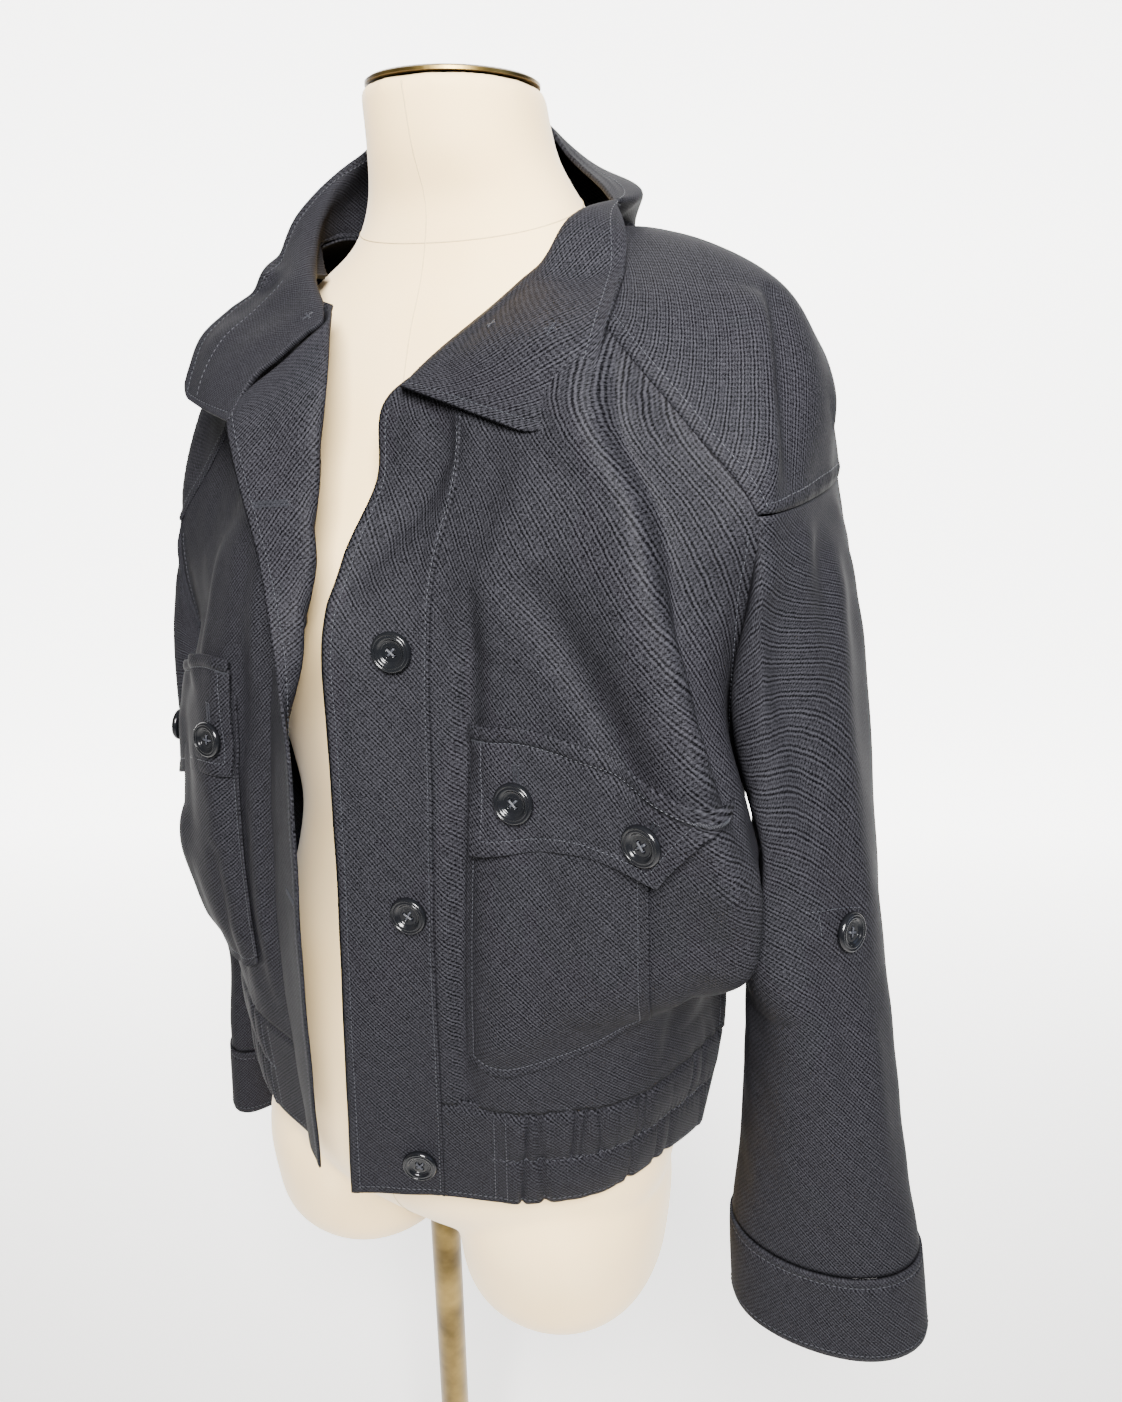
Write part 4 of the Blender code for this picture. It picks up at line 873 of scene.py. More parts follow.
def layered_piece(name, points, normals, uv, node, facing=1, half=0.0011, free=(1, 1, 1, 1)):
    """Two layers joined at the rim. Each face stands half off the middle and rounds down to the rim within 2 mm,
    where the edge between the layers is drawn in as a fine groove. free says which of the grid's edges (first row,
    last column, last row, first column) round down."""
    rows, columns = points.shape[:2]
    side = np.linalg.norm(np.diff(points, axis=1), axis=2)
    down = np.linalg.norm(np.diff(points, axis=0), axis=2)
    across = np.concatenate([np.zeros((rows, 1)), np.cumsum(side, axis=1)], axis=1)
    along = np.concatenate([np.zeros((1, columns)), np.cumsum(down, axis=0)], axis=0)
    ways = along, across[:, -1:] - across, along[-1:] - along, across
    rim = np.min([way if used else np.full_like(way, 1.0) for way, used in zip(ways, free)], axis=0)
    share = np.clip(rim / 0.0018, 0, 1)
    lift = half * (0.40 + 0.60 * np.sqrt(1 - (1 - share) ** 2))
    outer = points + normals * lift[..., None]
    inner = points - normals * lift[..., None]
    index = np.arange(rows * columns).reshape(rows, columns)
    step = np.clip(np.arange(rows), 1, rows - 2)[:, None], np.clip(np.arange(columns), 1, columns - 2)[None, :]
    inward = index[step]
    loop = [np.concatenate([g[0, :-1], g[:-1, -1], g[-1, :0:-1], g[:0:-1, 0]]) for g in (index, inward)]
    flat = points.reshape(-1, 3)
    way = flat[loop[1]] - flat[loop[0]]
    groove = flat[loop[0]] + 0.0007 * way / np.linalg.norm(way, axis=1, keepdims=True)
    total = rows * columns
    middle = 2 * total + np.arange(len(loop[0]))
    following = np.roll(np.arange(len(loop[0])), -1)
    quads = grid_faces(rows, columns)
    upper = np.stack([loop[0], middle, middle[following], loop[0][following]], -1)
    lower = np.stack([middle, loop[0] + total, loop[0][following] + total, middle[following]], -1)
    faces = np.concatenate([quads, quads[:, ::-1] + total, upper, lower])
    if facing < 0:
        faces = faces[:, ::-1]
    pattern = np.stack(np.broadcast_arrays(*uv), -1).reshape(-1, 2)
    pattern = np.concatenate([pattern, pattern, pattern[loop[0]]])
    piece = mesh_piece(
        name, np.concatenate([outer.reshape(-1, 3), inner.reshape(-1, 3), groove]), faces, twill,
        uv=pattern[faces.reshape(-1)],
    )
    piece["layered"] = True
    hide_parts(*([node] if isinstance(node, str) else node))
    return piece


def left_placket_place(across, height):
    edge = placket_edge(height)
    share = np.clip(across / left_surface.width(height), 0, 1)
    relief = creases(LEFT_CREASES, across, height) + ripples(across, height, 3, 0.05, 0.0004)
    relief = relief + felled(across, 0.0060, 0.0004) + 0.0009 * soft(0.010, 0.0, edge - across)
    relief = relief - 0.0005 * np.exp(-(((edge - across - 0.0025) / 0.0010) ** 2))
    point = left_surface.at(share, height) + left_surface.normal(share, height) * relief[..., None]
    return clear_of_form(point, 0.0026)


height = (HEM + (1.210 - HEM) * fine_near(1.210 - HEM, 0.0026))[:, None]
share = fine_near(PLACKET_WIDTH, 0.0024, marks=(0.006, 0.0598))[None, :]
across = placket_edge(height) * share
normals = with_normals(left_placket_place, across, height, 1, 0.0012)[1]
left_placket = layered_piece(
    "left_placket_strip", left_placket_place(across, height), normals, (across, height), "left_placket"
)
run = row_heights(HEM + 0.004, 1.172)
across_run = np.linspace(0.006, PLACKET_WIDTH - 0.003, 16)
placket_lines = [
    line_on(left_placket_place, 0.0060, run),
    line_on(left_placket_place, placket_edge(run) - 0.0025, run),
    line_on(left_placket_place, across_run, HEM + 0.006),
]
left_placket_thread = stitches("left_placket_stitches", placket_lines, 0.0011)
declare(left_placket, form)

RIGHT_PLACKET = table(
    "height attach_x attach_y attach_z roll_x roll_y roll_z edge_x edge_y edge_z",
    (683, -56, -78, 683, -41, -91, 686, -24, -104, 690),
    (765, -57, -82, 765, -37, -98, 765, -16, -111, 765),
    (840, -58, -82, 840, -35, -99, 840, -12, -114, 840),
    (930, -57, -79, 930, -33, -96, 930, -10, -111, 930),
    (1000, -54, -73, 1000, -27, -93, 1000, -12, -106, 1000),
    (1055, -48, -67, 1055, -12, -88, 1052, -22, -101, 1055),
    (1100, -43, -57, 1100, -13, -72, 1098, -42, -84, 1095),
    (1140, -40, -47, 1140, -16, -60, 1140, -62, -72, 1134),
    (1180, -38, -36, 1180, -17, -47, 1186, -76, -62, 1164),
    (1230, -42, -6, 1230, -28, -28, 1220, -78, -58, 1174),
)
turned_surface = Surface(RIGHT_PLACKET["height"], points_of(RIGHT_PLACKET, "attach", "roll", "edge"), facing=-1)


def right_placket_place(share, height):
    width = turned_surface.width(height)
    across = share * width
    relief = ripples(across, height, 8, 0.045, 0.0005) - felled(width - across, 0.0060, 0.0004)
    relief = relief + 0.0009 * np.exp(-(((height - 1.0665) / 0.0011) ** 2)) - 0.0007 * soft(1.0660, 1.0640, height)
    return turned_surface.at(share, height) + turned_surface.normal(share, height) * relief[..., None]


height = (HEM + (1.230 - HEM) * fine_near(1.230 - HEM, 0.0028))[:, None]
share = np.linspace(0.02, 1, 44)[None, :]
normals = with_normals(right_placket_place, share, height, -1, 0.004)[1]
right_placket = layered_piece(
    "right_placket_strip",
    right_placket_place(share, height),
    normals,
    (share * turned_surface.width(height), height),
    "right_placket",
    facing=-1,
)
run = row_heights(HEM + 0.004, 1.225)
width = turned_surface.width(run)
right_placket_lines = [line_on(right_placket_place, 1 - 0.0060 / width, run, way, 0.002) for way in (1, -1)]
cross_seam = np.linspace(0.08, 0.94, 40)
right_placket_lines.append(line_on(right_placket_place, cross_seam, 1.0690, 1, 0.002))
right_placket_thread = stitches("right_placket_stitches", right_placket_lines, 0.0011)
declare(right_placket, form)


# ---------------------------------------------------------------- pockets and flaps
# Four patches: a deep pocket on each front and a wide flap over it, both of two layers. They are topstitched round
# their edges. The pockets bag out a little, and the flaps lie over the pockets' mouths.

PATCHES = "top_across top_height low_across low_height"
LEFT_POCKET = table(
    PATCHES, (84, 1000, 81, 805), (111, 1004, 104, 799), (138, 1004, 132, 809), (165, 1003, 162, 827),
    (192, 999, 190, 854),
)
LEFT_FLAP = table(
    PATCHES, (88, 1021, 92, 945), (122, 1028, 120, 954), (158, 1025, 147, 961), (195, 1017, 172, 962),
    (227, 1006, 199, 958),
)
RIGHT_POCKET = table(
    PATCHES, (37, 1004, 30, 813), (64, 1004, 44, 804), (91, 1001, 66, 797), (118, 996, 98, 794), (145, 988, 139, 796),
)
RIGHT_FLAP = table(
    PATCHES, (41, 1028, 37, 950), (75, 1026, 64, 946), (108, 1018, 92, 937), (143, 1008, 122, 924),
    (178, 996, 150, 908),
)


def patch_place(outline, base, facing, lift):
    """A patch on a panel: along runs 0 to 1 from its first side to its last, down runs 0 to 1 from top to bottom."""
    knots = np.linspace(0, 1, 5)
    rows = np.stack([outline[name] for name in PATCHES.split()], -1)

    def spot(along, down):
        top_across, top_height, low_across, low_height = np.moveaxis(curve_at(knots, rows, along), -1, 0)
        return top_across + (low_across - top_across) * down, top_height + (low_height - top_height) * down

    def place(along, down):
        across, height = spot(along, down)
        point, normal = with_normals(base, across, height, facing, 0.005)
        return point + normal * lift(along, down, across, height)[..., None]

    return place, spot


def rim_distance(outline, along, down):
    """Metres from a patch's first side, last side, top and bottom, near enough."""
    wide = (outline["top_across"][-1] - outline["top_across"][0]) * (1 - down) + (
        outline["low_across"][-1] - outline["low_across"][0]
    ) * down
    tall = curve_at(np.linspace(0, 1, 5), (outline["top_height"] - outline["low_height"])[:, None], along)[..., 0]
    return along * wide, (1 - along) * wide, down * tall, (1 - down) * tall


def patch_piece(name, outline, base, facing, lift, node, stitch_in, sides=(1, 1, 1, 1)):
    """A patch with its topstitching stitch_in from the sides that carry it (first, last, top, bottom)."""
    place, spot = patch_place(outline, base, facing, lift)
    wide = outline["top_across"][-1] - outline["top_across"][0]
    tall = float((outline["top_height"] - outline["low_height"]).max())
    along = fine_near(wide, 0.0026, marks=(0.0003, stitch_in, wide - stitch_in, wide - 0.0003))[None, :]
    down = fine_near(tall, 0.0026, marks=(0.0003, stitch_in, tall - stitch_in, tall - 0.0003))[:, None]
    points, normals = with_normals(place, along, down, -facing, 0.006)
    across, height = spot(along, down)
    piece = layered_piece(name, points, normals, (across, height), node, facing=-facing, half=0.0009)
    inner = np.linspace(stitch_in / wide, 1 - stitch_in / wide, 60)
    fall = np.linspace(stitch_in / tall, 1 - stitch_in / tall, 60)
    runs = [
        (np.full(60, stitch_in / wide), fall),
        (np.full(60, 1 - stitch_in / wide), fall),
        (inner, np.full(60, stitch_in / tall)),
        (inner, np.full(60, 1 - stitch_in / tall)),
    ]
    lines = [line_on(place, *run, -facing, 0.006) for run, used in zip(runs, sides) if used]
    threads = stitches(name + "_stitches", lines, 0.0009, 0.0028, 0.0022)
    return piece, threads, place


def pocket_lift(outline, seed):
    def lift(along, down, across, height):
        first, last, top, bottom = rim_distance(outline, along, down)
        rim = np.minimum(np.minimum(first, last), bottom)
        bag = 0.0035 * soft(0, 0.035, rim) * soft(0.0, 0.3, down)
        roll = 0.0007 * np.exp(-((rim / 0.0022) ** 2)) - 0.0004 * np.exp(-(((rim - 0.0062) / 0.0012) ** 2))
        return 0.0024 + bag + roll + ripples(across, height, seed, 0.04, 0.0005) * soft(0, 0.02, rim)

    return lift


def flap_lift(outline, seed, rise):
    def lift(along, down, across, height):
        first, last, top, bottom = rim_distance(outline, along, down)
        rim = np.minimum(np.minimum(first, last), bottom)
        ridge = 0.0016 * soft(0.0095, 0.0050, top) - 0.0006 * np.exp(-(((top - 0.0088) / 0.0012) ** 2))
        dent = -0.0004 * np.exp(-(((rim - 0.0090) / 0.0013) ** 2))
        wave = rise * np.clip(down, 0, 1) ** 1.5 * (1.0 + 0.5 * np.cos(2 * math.pi * along))
        return 0.0050 + ridge + dent + wave + ripples(across, height, seed, 0.045, 0.0006) * soft(0, 0.02, top)

    return lift


left_base = panel_place(left_surface, LEFT_CREASES, 3, smooth=True)
right_base = panel_place(right_surface, RIGHT_CREASES, 5, smooth=True)
left_pocket, left_pocket_thread, _ = patch_piece(
    "left_patch_pocket", LEFT_POCKET, left_base, 1, pocket_lift(LEFT_POCKET, 31), "left_pocket", 0.0060, (1, 1, 0, 1)
)
right_pocket, right_pocket_thread, _ = patch_piece(
    "right_patch_pocket", RIGHT_POCKET, right_base, -1, pocket_lift(RIGHT_POCKET, 33), "right_pocket", 0.0060,
    (1, 1, 0, 1),
)
left_flap, left_flap_thread, left_flap_place = patch_piece(
    "left_flap", LEFT_FLAP, left_base, 1, flap_lift(LEFT_FLAP, 35, 0.0030), "left_pocket_flap", 0.0090
)
right_flap, right_flap_thread, right_flap_place = patch_piece(
    "right_flap", RIGHT_FLAP, right_base, -1, flap_lift(RIGHT_FLAP, 37, 0.0015), "right_pocket_flap", 0.0090
)
declare(left_pocket, left_front)
declare(right_pocket, right_front)
declare(left_flap, left_pocket)
declare(right_flap, right_pocket)


# ---------------------------------------------------------------- hem bands
# Three lengths of the twill folded over wide elastic: two flat ends by the plackets, the rest gathered. They are
# seamed to the fronts and the back, and one row of stretched zigzag stitching runs along the middle.

BAND_MIDDLE = 0.7225


def pinches(across, level, seed, length):
    """Elastic gathers: narrow valleys at uneven steps, each above the zigzag row, below it or through both."""
    draw = np.random.default_rng(seed)
    total = 0.0
    spot = 0.006
    while spot < length:
        reach = draw.choice([-1, 0, 1], p=[0.36, 0.22, 0.42])
        depth, width, slant = draw.uniform(0.0008, 0.0030), draw.uniform(0.0012, 0.0024), draw.uniform(-0.0030, 0.0030)
        window = 1.0 if reach == 0 else soft(-0.10, 0.12, reach * level)
        side = across - spot - slant * level
        bell = np.exp(-((side / np.where(side > 0, 1.5 * width, width)) ** 2))
        total = total - depth * bell * window
        spot += draw.uniform(0.005, 0.019)
    return total


def band_place(surface, start, end, gather_start, seed):
    """The band: flat cloth between uneven pinches, drawn in at the seam, along the zigzag row and at the fold."""

    def place(across, height):
        width = surface.width(height)
        share = np.clip(across / width, 0, 1)
        inside = soft(gather_start, gather_start + 0.010, across) * soft(0, 0.004, width - end - across)
        level = (height - BAND_MIDDLE) / 0.040
        row = np.exp(-(((height - BAND_MIDDLE) / 0.0028) ** 2))
        belly = 0.0016 * np.sin(math.pi * np.clip(np.abs(level), 0, 1))
        swell = 0.0009 * gathers(across + 0.003 * level, seed, 0.024)
        fine = 0.00035 * np.sin(2 * math.pi * across / 0.0047 + 2 * np.sin(across / 0.011))
        fine = fine * np.exp(-((level / 0.25) ** 2))
        relief = inside * (pinches(across, level, seed, float(surface.lengths.max())) + belly + swell + fine + 0.0010)
        relief = relief - 0.0007 * row * inside - 0.0018 * soft(BAND_TOP - 0.006, BAND_TOP - 0.001, height)
        point = surface.at(share, height) + surface.normal(share, height) * relief[..., None]
        return clear_of_form(point)

    return place


def band_piece(name, surface, start, end, gather_start, node, seed, facing):
    """A band with its zigzag row and, at a flat end, the double vertical row."""
    place = band_place(surface, start, end, gather_start, seed)
    height = (HEM + (BAND_TOP + 0.002 - HEM) * fine_near(BAND_TOP + 0.002 - HEM, 0.0022, marks=(0.0395,)))[:, None]
    width = surface.width(height) - end
    share = np.linspace(0, 1, int(width.max() / 0.0012))[None, :]
    across = start + (width - start) * share
    piece = cloth_piece(name, place(across, height), (across, height), node, facing=facing, thickness=0.0014)
    long_run = np.arange(max(start + 0.004, gather_start - 0.004), width.min() - 0.004, 0.0020)
    zigzag = BAND_MIDDLE + 0.0011 * np.where(np.arange(len(long_run)) % 2, 1.0, -1.0)
    hem_run = np.arange(start + 0.003, width.min() - 0.003, 0.002)
    lines = [line_on(place, long_run, zigzag, facing), line_on(place, hem_run, HEM + 0.0045, facing)]
    if gather_start > start + 0.01:
        up = row_heights(HEM + 0.003, BAND_TOP - 0.003)
        lines += [line_on(place, gather_start - 0.002, up, facing), line_on(place, gather_start + 0.006, up, facing)]
    return piece, stitches(name + "_stitches", lines, 0.0007)


left_band, left_band_thread = band_piece(
    "left_band", left_surface, PLACKET_WIDTH - 0.0012, 0.0006, PLACKET_WIDTH + FLAT_END, "left_hem_band", 41, 1
)
right_band, right_band_thread = band_piece(
    "right_band", right_surface, SEAM_GAP, 0.0006, FLAT_END, "right_hem_band", 43, -1
)
back_band, back_band_thread = band_piece("back_band", back_surface, 0.0006, 0.0006, 0.0, "back_hem_band", 45, 1)
declare(left_band, form)
declare(right_band, form)
declare(back_band, form)


# ---------------------------------------------------------------- shoulders
# Each shoulder is a raglan cap in one piece, from the neck over the shoulder to the dropped seam. Its edges are
# felled over the front and the back, with one row of topstitching.

LEFT_RIDGE = table(
    "ridge_x ridge_y ridge_z",
    (92, 72, 1270), (138, 70, 1264), (180, 66, 1249), (208, 62, 1228), (228, 58, 1188), (234, 56, 1136),
)
RIGHT_RIDGE = table(
    "ridge_x ridge_y ridge_z",
    (-92, 72, 1268), (-126, 76, 1258), (-160, 78, 1236), (-190, 80, 1212), (-220, 82, 1170), (-236, 84, 1108),
)
SHOULDER_CREASES = table(
    "x0 z0 x1 z1 x2 z2 near far depth",
    (92, 92, 50, 128, 4, 182, 7, 18, 5),
    (108, 96, 66, 134, 22, 186, 12, 8, -4),
    (158, 124, 138, 146, 114, 166, 7, 12, 3),
    (190, 70, 196, 120, 196, 170, 14, 14, -2.5),
)


def cap_section(front, ridge, back, ways, fullness, count=9):
    """A cubic from each seam point, leaving along its panel's own direction (ways), to a level crossing of the
    ridge."""
    t = np.linspace(0, 1, count)[:, None]
    over = (back - front) / np.linalg.norm(back - front)
    halves = []
    for end, way, turn in ((front, ways[0], 1), (back, ways[1], -1)):
        reach = np.linalg.norm(ridge - end)
        leaving, arriving = fullness * reach * way, 0.9 * reach * turn * over
        curve = (1 + 2 * t) * (1 - t) ** 2 * end + t * (1 - t) ** 2 * leaving
        halves.append(curve + t * t * (3 - 2 * t) * ridge + t * t * (t - 1) * arriving)
    return np.concatenate([halves[0], halves[1][-2::-1]])


def upper_seam(rows, name, count):
    """The raglan seam from the neck down to the shoulder point."""
    heights = np.linspace(NECK_SEAM, SHOULDER_POINT, count)
    return curve_at(rows["height"], points_of(rows, name)[:, 0], heights)


def leaving_way(surface, share, inner, count):
    """Unit directions in which a panel's cloth leaves its raglan seam."""
    heights = np.linspace(NECK_SEAM - 0.004, SHOULDER_POINT, count)
    way = surface.at(share, heights) - surface.at(inner, heights)
    return way / np.linalg.norm(way, axis=1, keepdims=True)


def shoulder_surface(side):
    """The raglan cap: one section for each ridge point, from the neck to the dropped seam."""
    ridge = points_of(LEFT_RIDGE if side > 0 else RIGHT_RIDGE, "ridge")[:, 0]
    count = 21
    ridge = curve_at(np.linspace(0, 1, len(ridge)), ridge, np.linspace(0, 1, count))
    fronts = upper_seam(LEFT_FRONT if side > 0 else RIGHT_FRONT, "seam", count)
    backs = upper_seam(BACK, "left", count) * (1 if side > 0 else MIRROR)
    front_ways = leaving_way(left_surface if side > 0 else right_surface, 1.0, 0.96, count)
    back_ways = leaving_way(back_surface, 0.0, 0.03, count) if side > 0 else leaving_way(back_surface, 1.0, 0.97, count)
    fullness = np.linspace(0.75, 0.35, count)
    rows = zip(fronts, ridge, backs, zip(front_ways, back_ways), fullness)
    return Surface(np.linspace(0, 1, count), [cap_section(*row) for row in rows], facing=-side)


SHOULDER_LENGTH = 0.190  # along the ridge, from the neck to the dropped seam


def shoulder_place(surface, seed):
    """The cap with its creases, raised along the raglan seams and above the dropped seam."""

    def place(share, along):
        width = surface.width(along)
        across, down = share * width, along * SHOULDER_LENGTH
        edge = np.minimum(across, width - across)
        below = (1 - along) * SHOULDER_LENGTH
        relief = creases(SHOULDER_CREASES, across, down) + ripples(across, down, seed, 0.045, 0.0004)
        relief = relief * soft(0, 0.015, edge) * soft(-0.004, 0.012, below)
        tiny = 0.0004 * np.sin(2 * math.pi * across / 0.0075) * np.exp(-(((below - 0.004) / 0.004) ** 2))
        relief = relief + felled(edge + 0.0015) + felled(below) + tiny + 0.0007
        point = surface.at(share, along) + surface.normal(share, along) * relief[..., None]
        return clear_of_form(point)

    return place


caps = {}
for side, word, seed in ((1, "left", 51), (-1, "right", 53)):
    surface = shoulder_surface(side)
    place = shoulder_place(surface, seed)
    width = float(surface.width(1.0))
    share = fine_near(width, 0.0032, marks=(0.0080, width - 0.0080))[None, :]
    share = share * (1 + 0.0030 / width) - 0.0015 / width
    along = fine_near(SHOULDER_LENGTH, 0.0030, marks=(SHOULDER_LENGTH - 0.0065,))[:, None]
    uv = share * surface.width(along), np.broadcast_to(along * SHOULDER_LENGTH, (len(along), share.shape[1]))
    cap = cloth_piece(f"{word}_raglan_cap", place(share, along), uv, f"{word}_shoulder", facing=-side)
    down = np.linspace(0.10, 0.985, 70)
    width = surface.width(down)
    row = np.linspace(0.02, 0.98, 120)
    lines = [
        line_on(place, 0.0050 / width, down, -side, 0.004),
        line_on(place, 1 - 0.0050 / width, down, -side, 0.004),
        line_on(place, row, 1 - 0.0065 / SHOULDER_LENGTH, -side, 0.004),
    ]
    threads = stitches(f"{word}_raglan_stitches", lines)
    declare(cap, form)
    caps[side] = surface


# ---------------------------------------------------------------- sleeves and cuffs
# Each sleeve is one wide tube with a seam under the arm, set on below the dropped shoulder. A deep cuff of two
# layers is turned and stitched to it, and a stitched tab above the elbow carries a button.

LEFT_SLEEVE = table(
    "height centre_x centre_y half_out half_deep turn tilt",
    (1000, 235, 58, 21, 84, 0, 55),
    (920, 247, 50, 32, 74, 0, 20),
    (830, 261, 40, 42, 60, 5, 0),
    (720, 276, 30, 52, 44, 8, 0),
    (668, 283, 25, 59, 39, 10, 0),
    (605, 292, 22, 62, 37, 10, 0),
)
RIGHT_SLEEVE = table(
    "height centre_x centre_y half_out half_deep turn tilt",
    (990, -222, 92, 23, 76, 0, 45),
    (920, -231, 88, 26, 72, 0, 12),
    (830, -235, 88, 29, 68, 0, 0),
    (720, -230, 94, 28, 62, 0, 0),
    (615, -230, 84, 28, 62, 0, 0),
    (552, -231, 80, 28, 62, 0, 0),
)
# Round the arm from the seam under it: the front lies near 105 mm, the outside near 200 mm, the back near 300 mm.
LEFT_SLEEVE_CREASES = table(
    "x0 z0 x1 z1 x2 z2 near far depth",
    (66, 6, 62, 100, 66, 210, 28, 26, 10),
    (84, 130, 78, 215, 84, 290, 30, 30, 9),
    (150, 10, 146, 70, 150, 150, 12, 16, 2.5),
    (100, 40, 122, 110, 134, 200, 14, 16, -5),
    (86, 140, 104, 210, 126, 300, 12, 14, -4),
    (186, 50, 172, 160, 176, 280, 18, 14, 4),
    (118, 240, 132, 290, 130, 360, 12, 12, -2.5),
    (160, 290, 158, 350, 160, 420, 14, 14, 1.5),
    (280, 60, 270, 150, 275, 260, 18, 16, -4),
    (330, 120, 310, 200, 300, 300, 14, 14, 3),
    (240, 240, 250, 300, 246, 380, 14, 14, -3),
)
RIGHT_SLEEVE_CREASES = table(
    "x0 z0 x1 z1 x2 z2 near far depth",
    (150, 40, 140, 120, 146, 220, 14, 16, -4),
    (100, 60, 112, 130, 120, 220, 12, 14, 3),
    (200, 120, 190, 220, 196, 330, 16, 16, -3),
    (120, 260, 128, 340, 122, 430, 12, 14, 3),
    (270, 80, 280, 180, 270, 300, 18, 16, 4),
    (320, 160, 310, 260, 316, 360, 14, 14, -4),
)
SEAM_AT = -0.25  # share of the way round where the underarm seam runs


def armhole_half(side):
    """The inner half of the sleeve's top ring: back shoulder point, down to the underarm, up to the front."""
    rows = LEFT_FRONT if side > 0 else RIGHT_FRONT
    used = (rows["height"] > UNDERARM - 1e-6) & (rows["height"] < SHOULDER_POINT + 1e-6)
    front = points_of(rows, "seam")[used, 0]
    behind = points_of(BACK, "left")[used, 0] * (1 if side > 0 else MIRROR)
    return np.concatenate([behind[:0:-1], front])


def sleeve_surface(side):
    """The sleeve from its armhole ring to the cuff's edge; it starts at the front and runs over the outside."""
    rows = LEFT_SLEEVE if side > 0 else RIGHT_SLEEVE
    outer = caps[side].grid[-1]
    rings = [np.concatenate([even(outer, 25), even(armhole_half(side), 25)[1:]])]
    angle = np.radians(np.linspace(-90, 270, 49))
    for k in range(len(rows["height"])):
        turn = side * math.radians(rows["turn"][k])
        x = side * rows["half_out"][k] * np.cos(angle)
        y = rows["half_deep"][k] * np.sin(angle)
        ring = np.stack(
            [
                rows["centre_x"][k] + x * math.cos(turn) - y * math.sin(turn),
                rows["centre_y"][k] + x * math.sin(turn) + y * math.cos(turn),
                rows["height"][k] + rows["tilt"][k] * np.cos(angle),
            ],
            -1,
        )
        rings.append(np.concatenate([even(ring[:25], 25), even(ring[24:], 25)[1:]]))
    surface = Surface(np.concatenate([[0.0], SHOULDER_POINT - rows["height"]]), rings, facing=-side, samples=49)
    surface.grid = np.array(rings)
    return surface


def beyond(points, panels, gap, reach=0.010):
    """Points behind a panel, or nearer than gap to it, move out along its nearest normal. Points beside the panel
    by more than reach stay. The moves are evened out over the grid. Blocks keep the distance tables small."""
    flat = points.reshape(-1, 3).copy()
    gap = np.broadcast_to(gap, points.shape[:-1]).ravel()
    for surface, low, high in panels:
        level, share = np.linspace(low, high, 110)[:, None], np.linspace(0, 1, 110)[None, :]
        under = surface.at(share, level).reshape(-1, 3)
        outward = surface.normal(share, level).reshape(-1, 3)
        size = (under**2).sum(axis=1)
        inside = ((flat > under.min(axis=0) - 0.02) & (flat < under.max(axis=0) + 0.02)).all(axis=1)
        near = np.flatnonzero(inside)
        for block in np.array_split(near, max(1, len(near) // 400)):
            closest = (size - 2 * flat[block] @ under.T).argmin(axis=1)
            offset = flat[block] - under[closest]
            rise = (offset * outward[closest]).sum(axis=1)
            beside = np.linalg.norm(offset - rise[:, None] * outward[closest], axis=1)
            push = np.maximum(gap[block] - rise, 0) * soft(reach, 0.4 * reach, beside)
            flat[block] += push[:, None] * outward[closest]
    shift = flat.reshape(points.shape) - points
    for _ in range(4):
        for axis in (0, 1):
            ends = [(1, 1) if k == axis else (0, 0) for k in range(3)]
            padded = np.pad(shift, ends, "edge")
            low, high = np.delete(padded, (-2, -1), axis), np.delete(padded, (0, 1), axis)
            shift = 0.5 * shift + 0.25 * (low + high)
    return points + shift


def sleeve_place(surface, folds, seed, cuff_start):
    """The tube with creases and an uneven hang that fades at the underarm seam and at the cuff's seam."""

    def place(around, down):
        share = np.mod(around, 1.0)
        across = (around - SEAM_AT) * 0.400
        seam = np.minimum(across, 0.400 - across)
        relief = creases(folds, across, down) + ripples(across, down, seed, 0.06, 0.0006)
        relief = relief * soft(0, 0.03, seam) * soft(0.0, 0.03, down) * soft(0.004, 0.030, cuff_start - down)
        relief = relief - 0.0005 * np.exp(-((seam / 0.0012) ** 2))
        return surface.at(share, down) + surface.normal(share, down) * relief[..., None]

    return place


def cuff_place(surface, seed, cuff_start, cuff_end):
    def place(around, down):
        share = np.mod(around, 1.0)
        across = (around - SEAM_AT) * 0.400
        seam = np.minimum(across, 0.400 - across)
        below, above = down - cuff_start, cuff_end - down
        relief = ripples(across, down, seed, 0.07, 0.0006) * soft(0, 0.03, seam)
        relief = relief * soft(0, 0.02, below) + 0.0010 - 0.0006 * np.exp(-(((below - 0.0062) / 0.0012) ** 2))
        relief = relief - 0.0008 * np.exp(-((above / 0.0012) ** 2))
        return surface.at(share, down) + surface.normal(share, down) * relief[..., None]

    return place


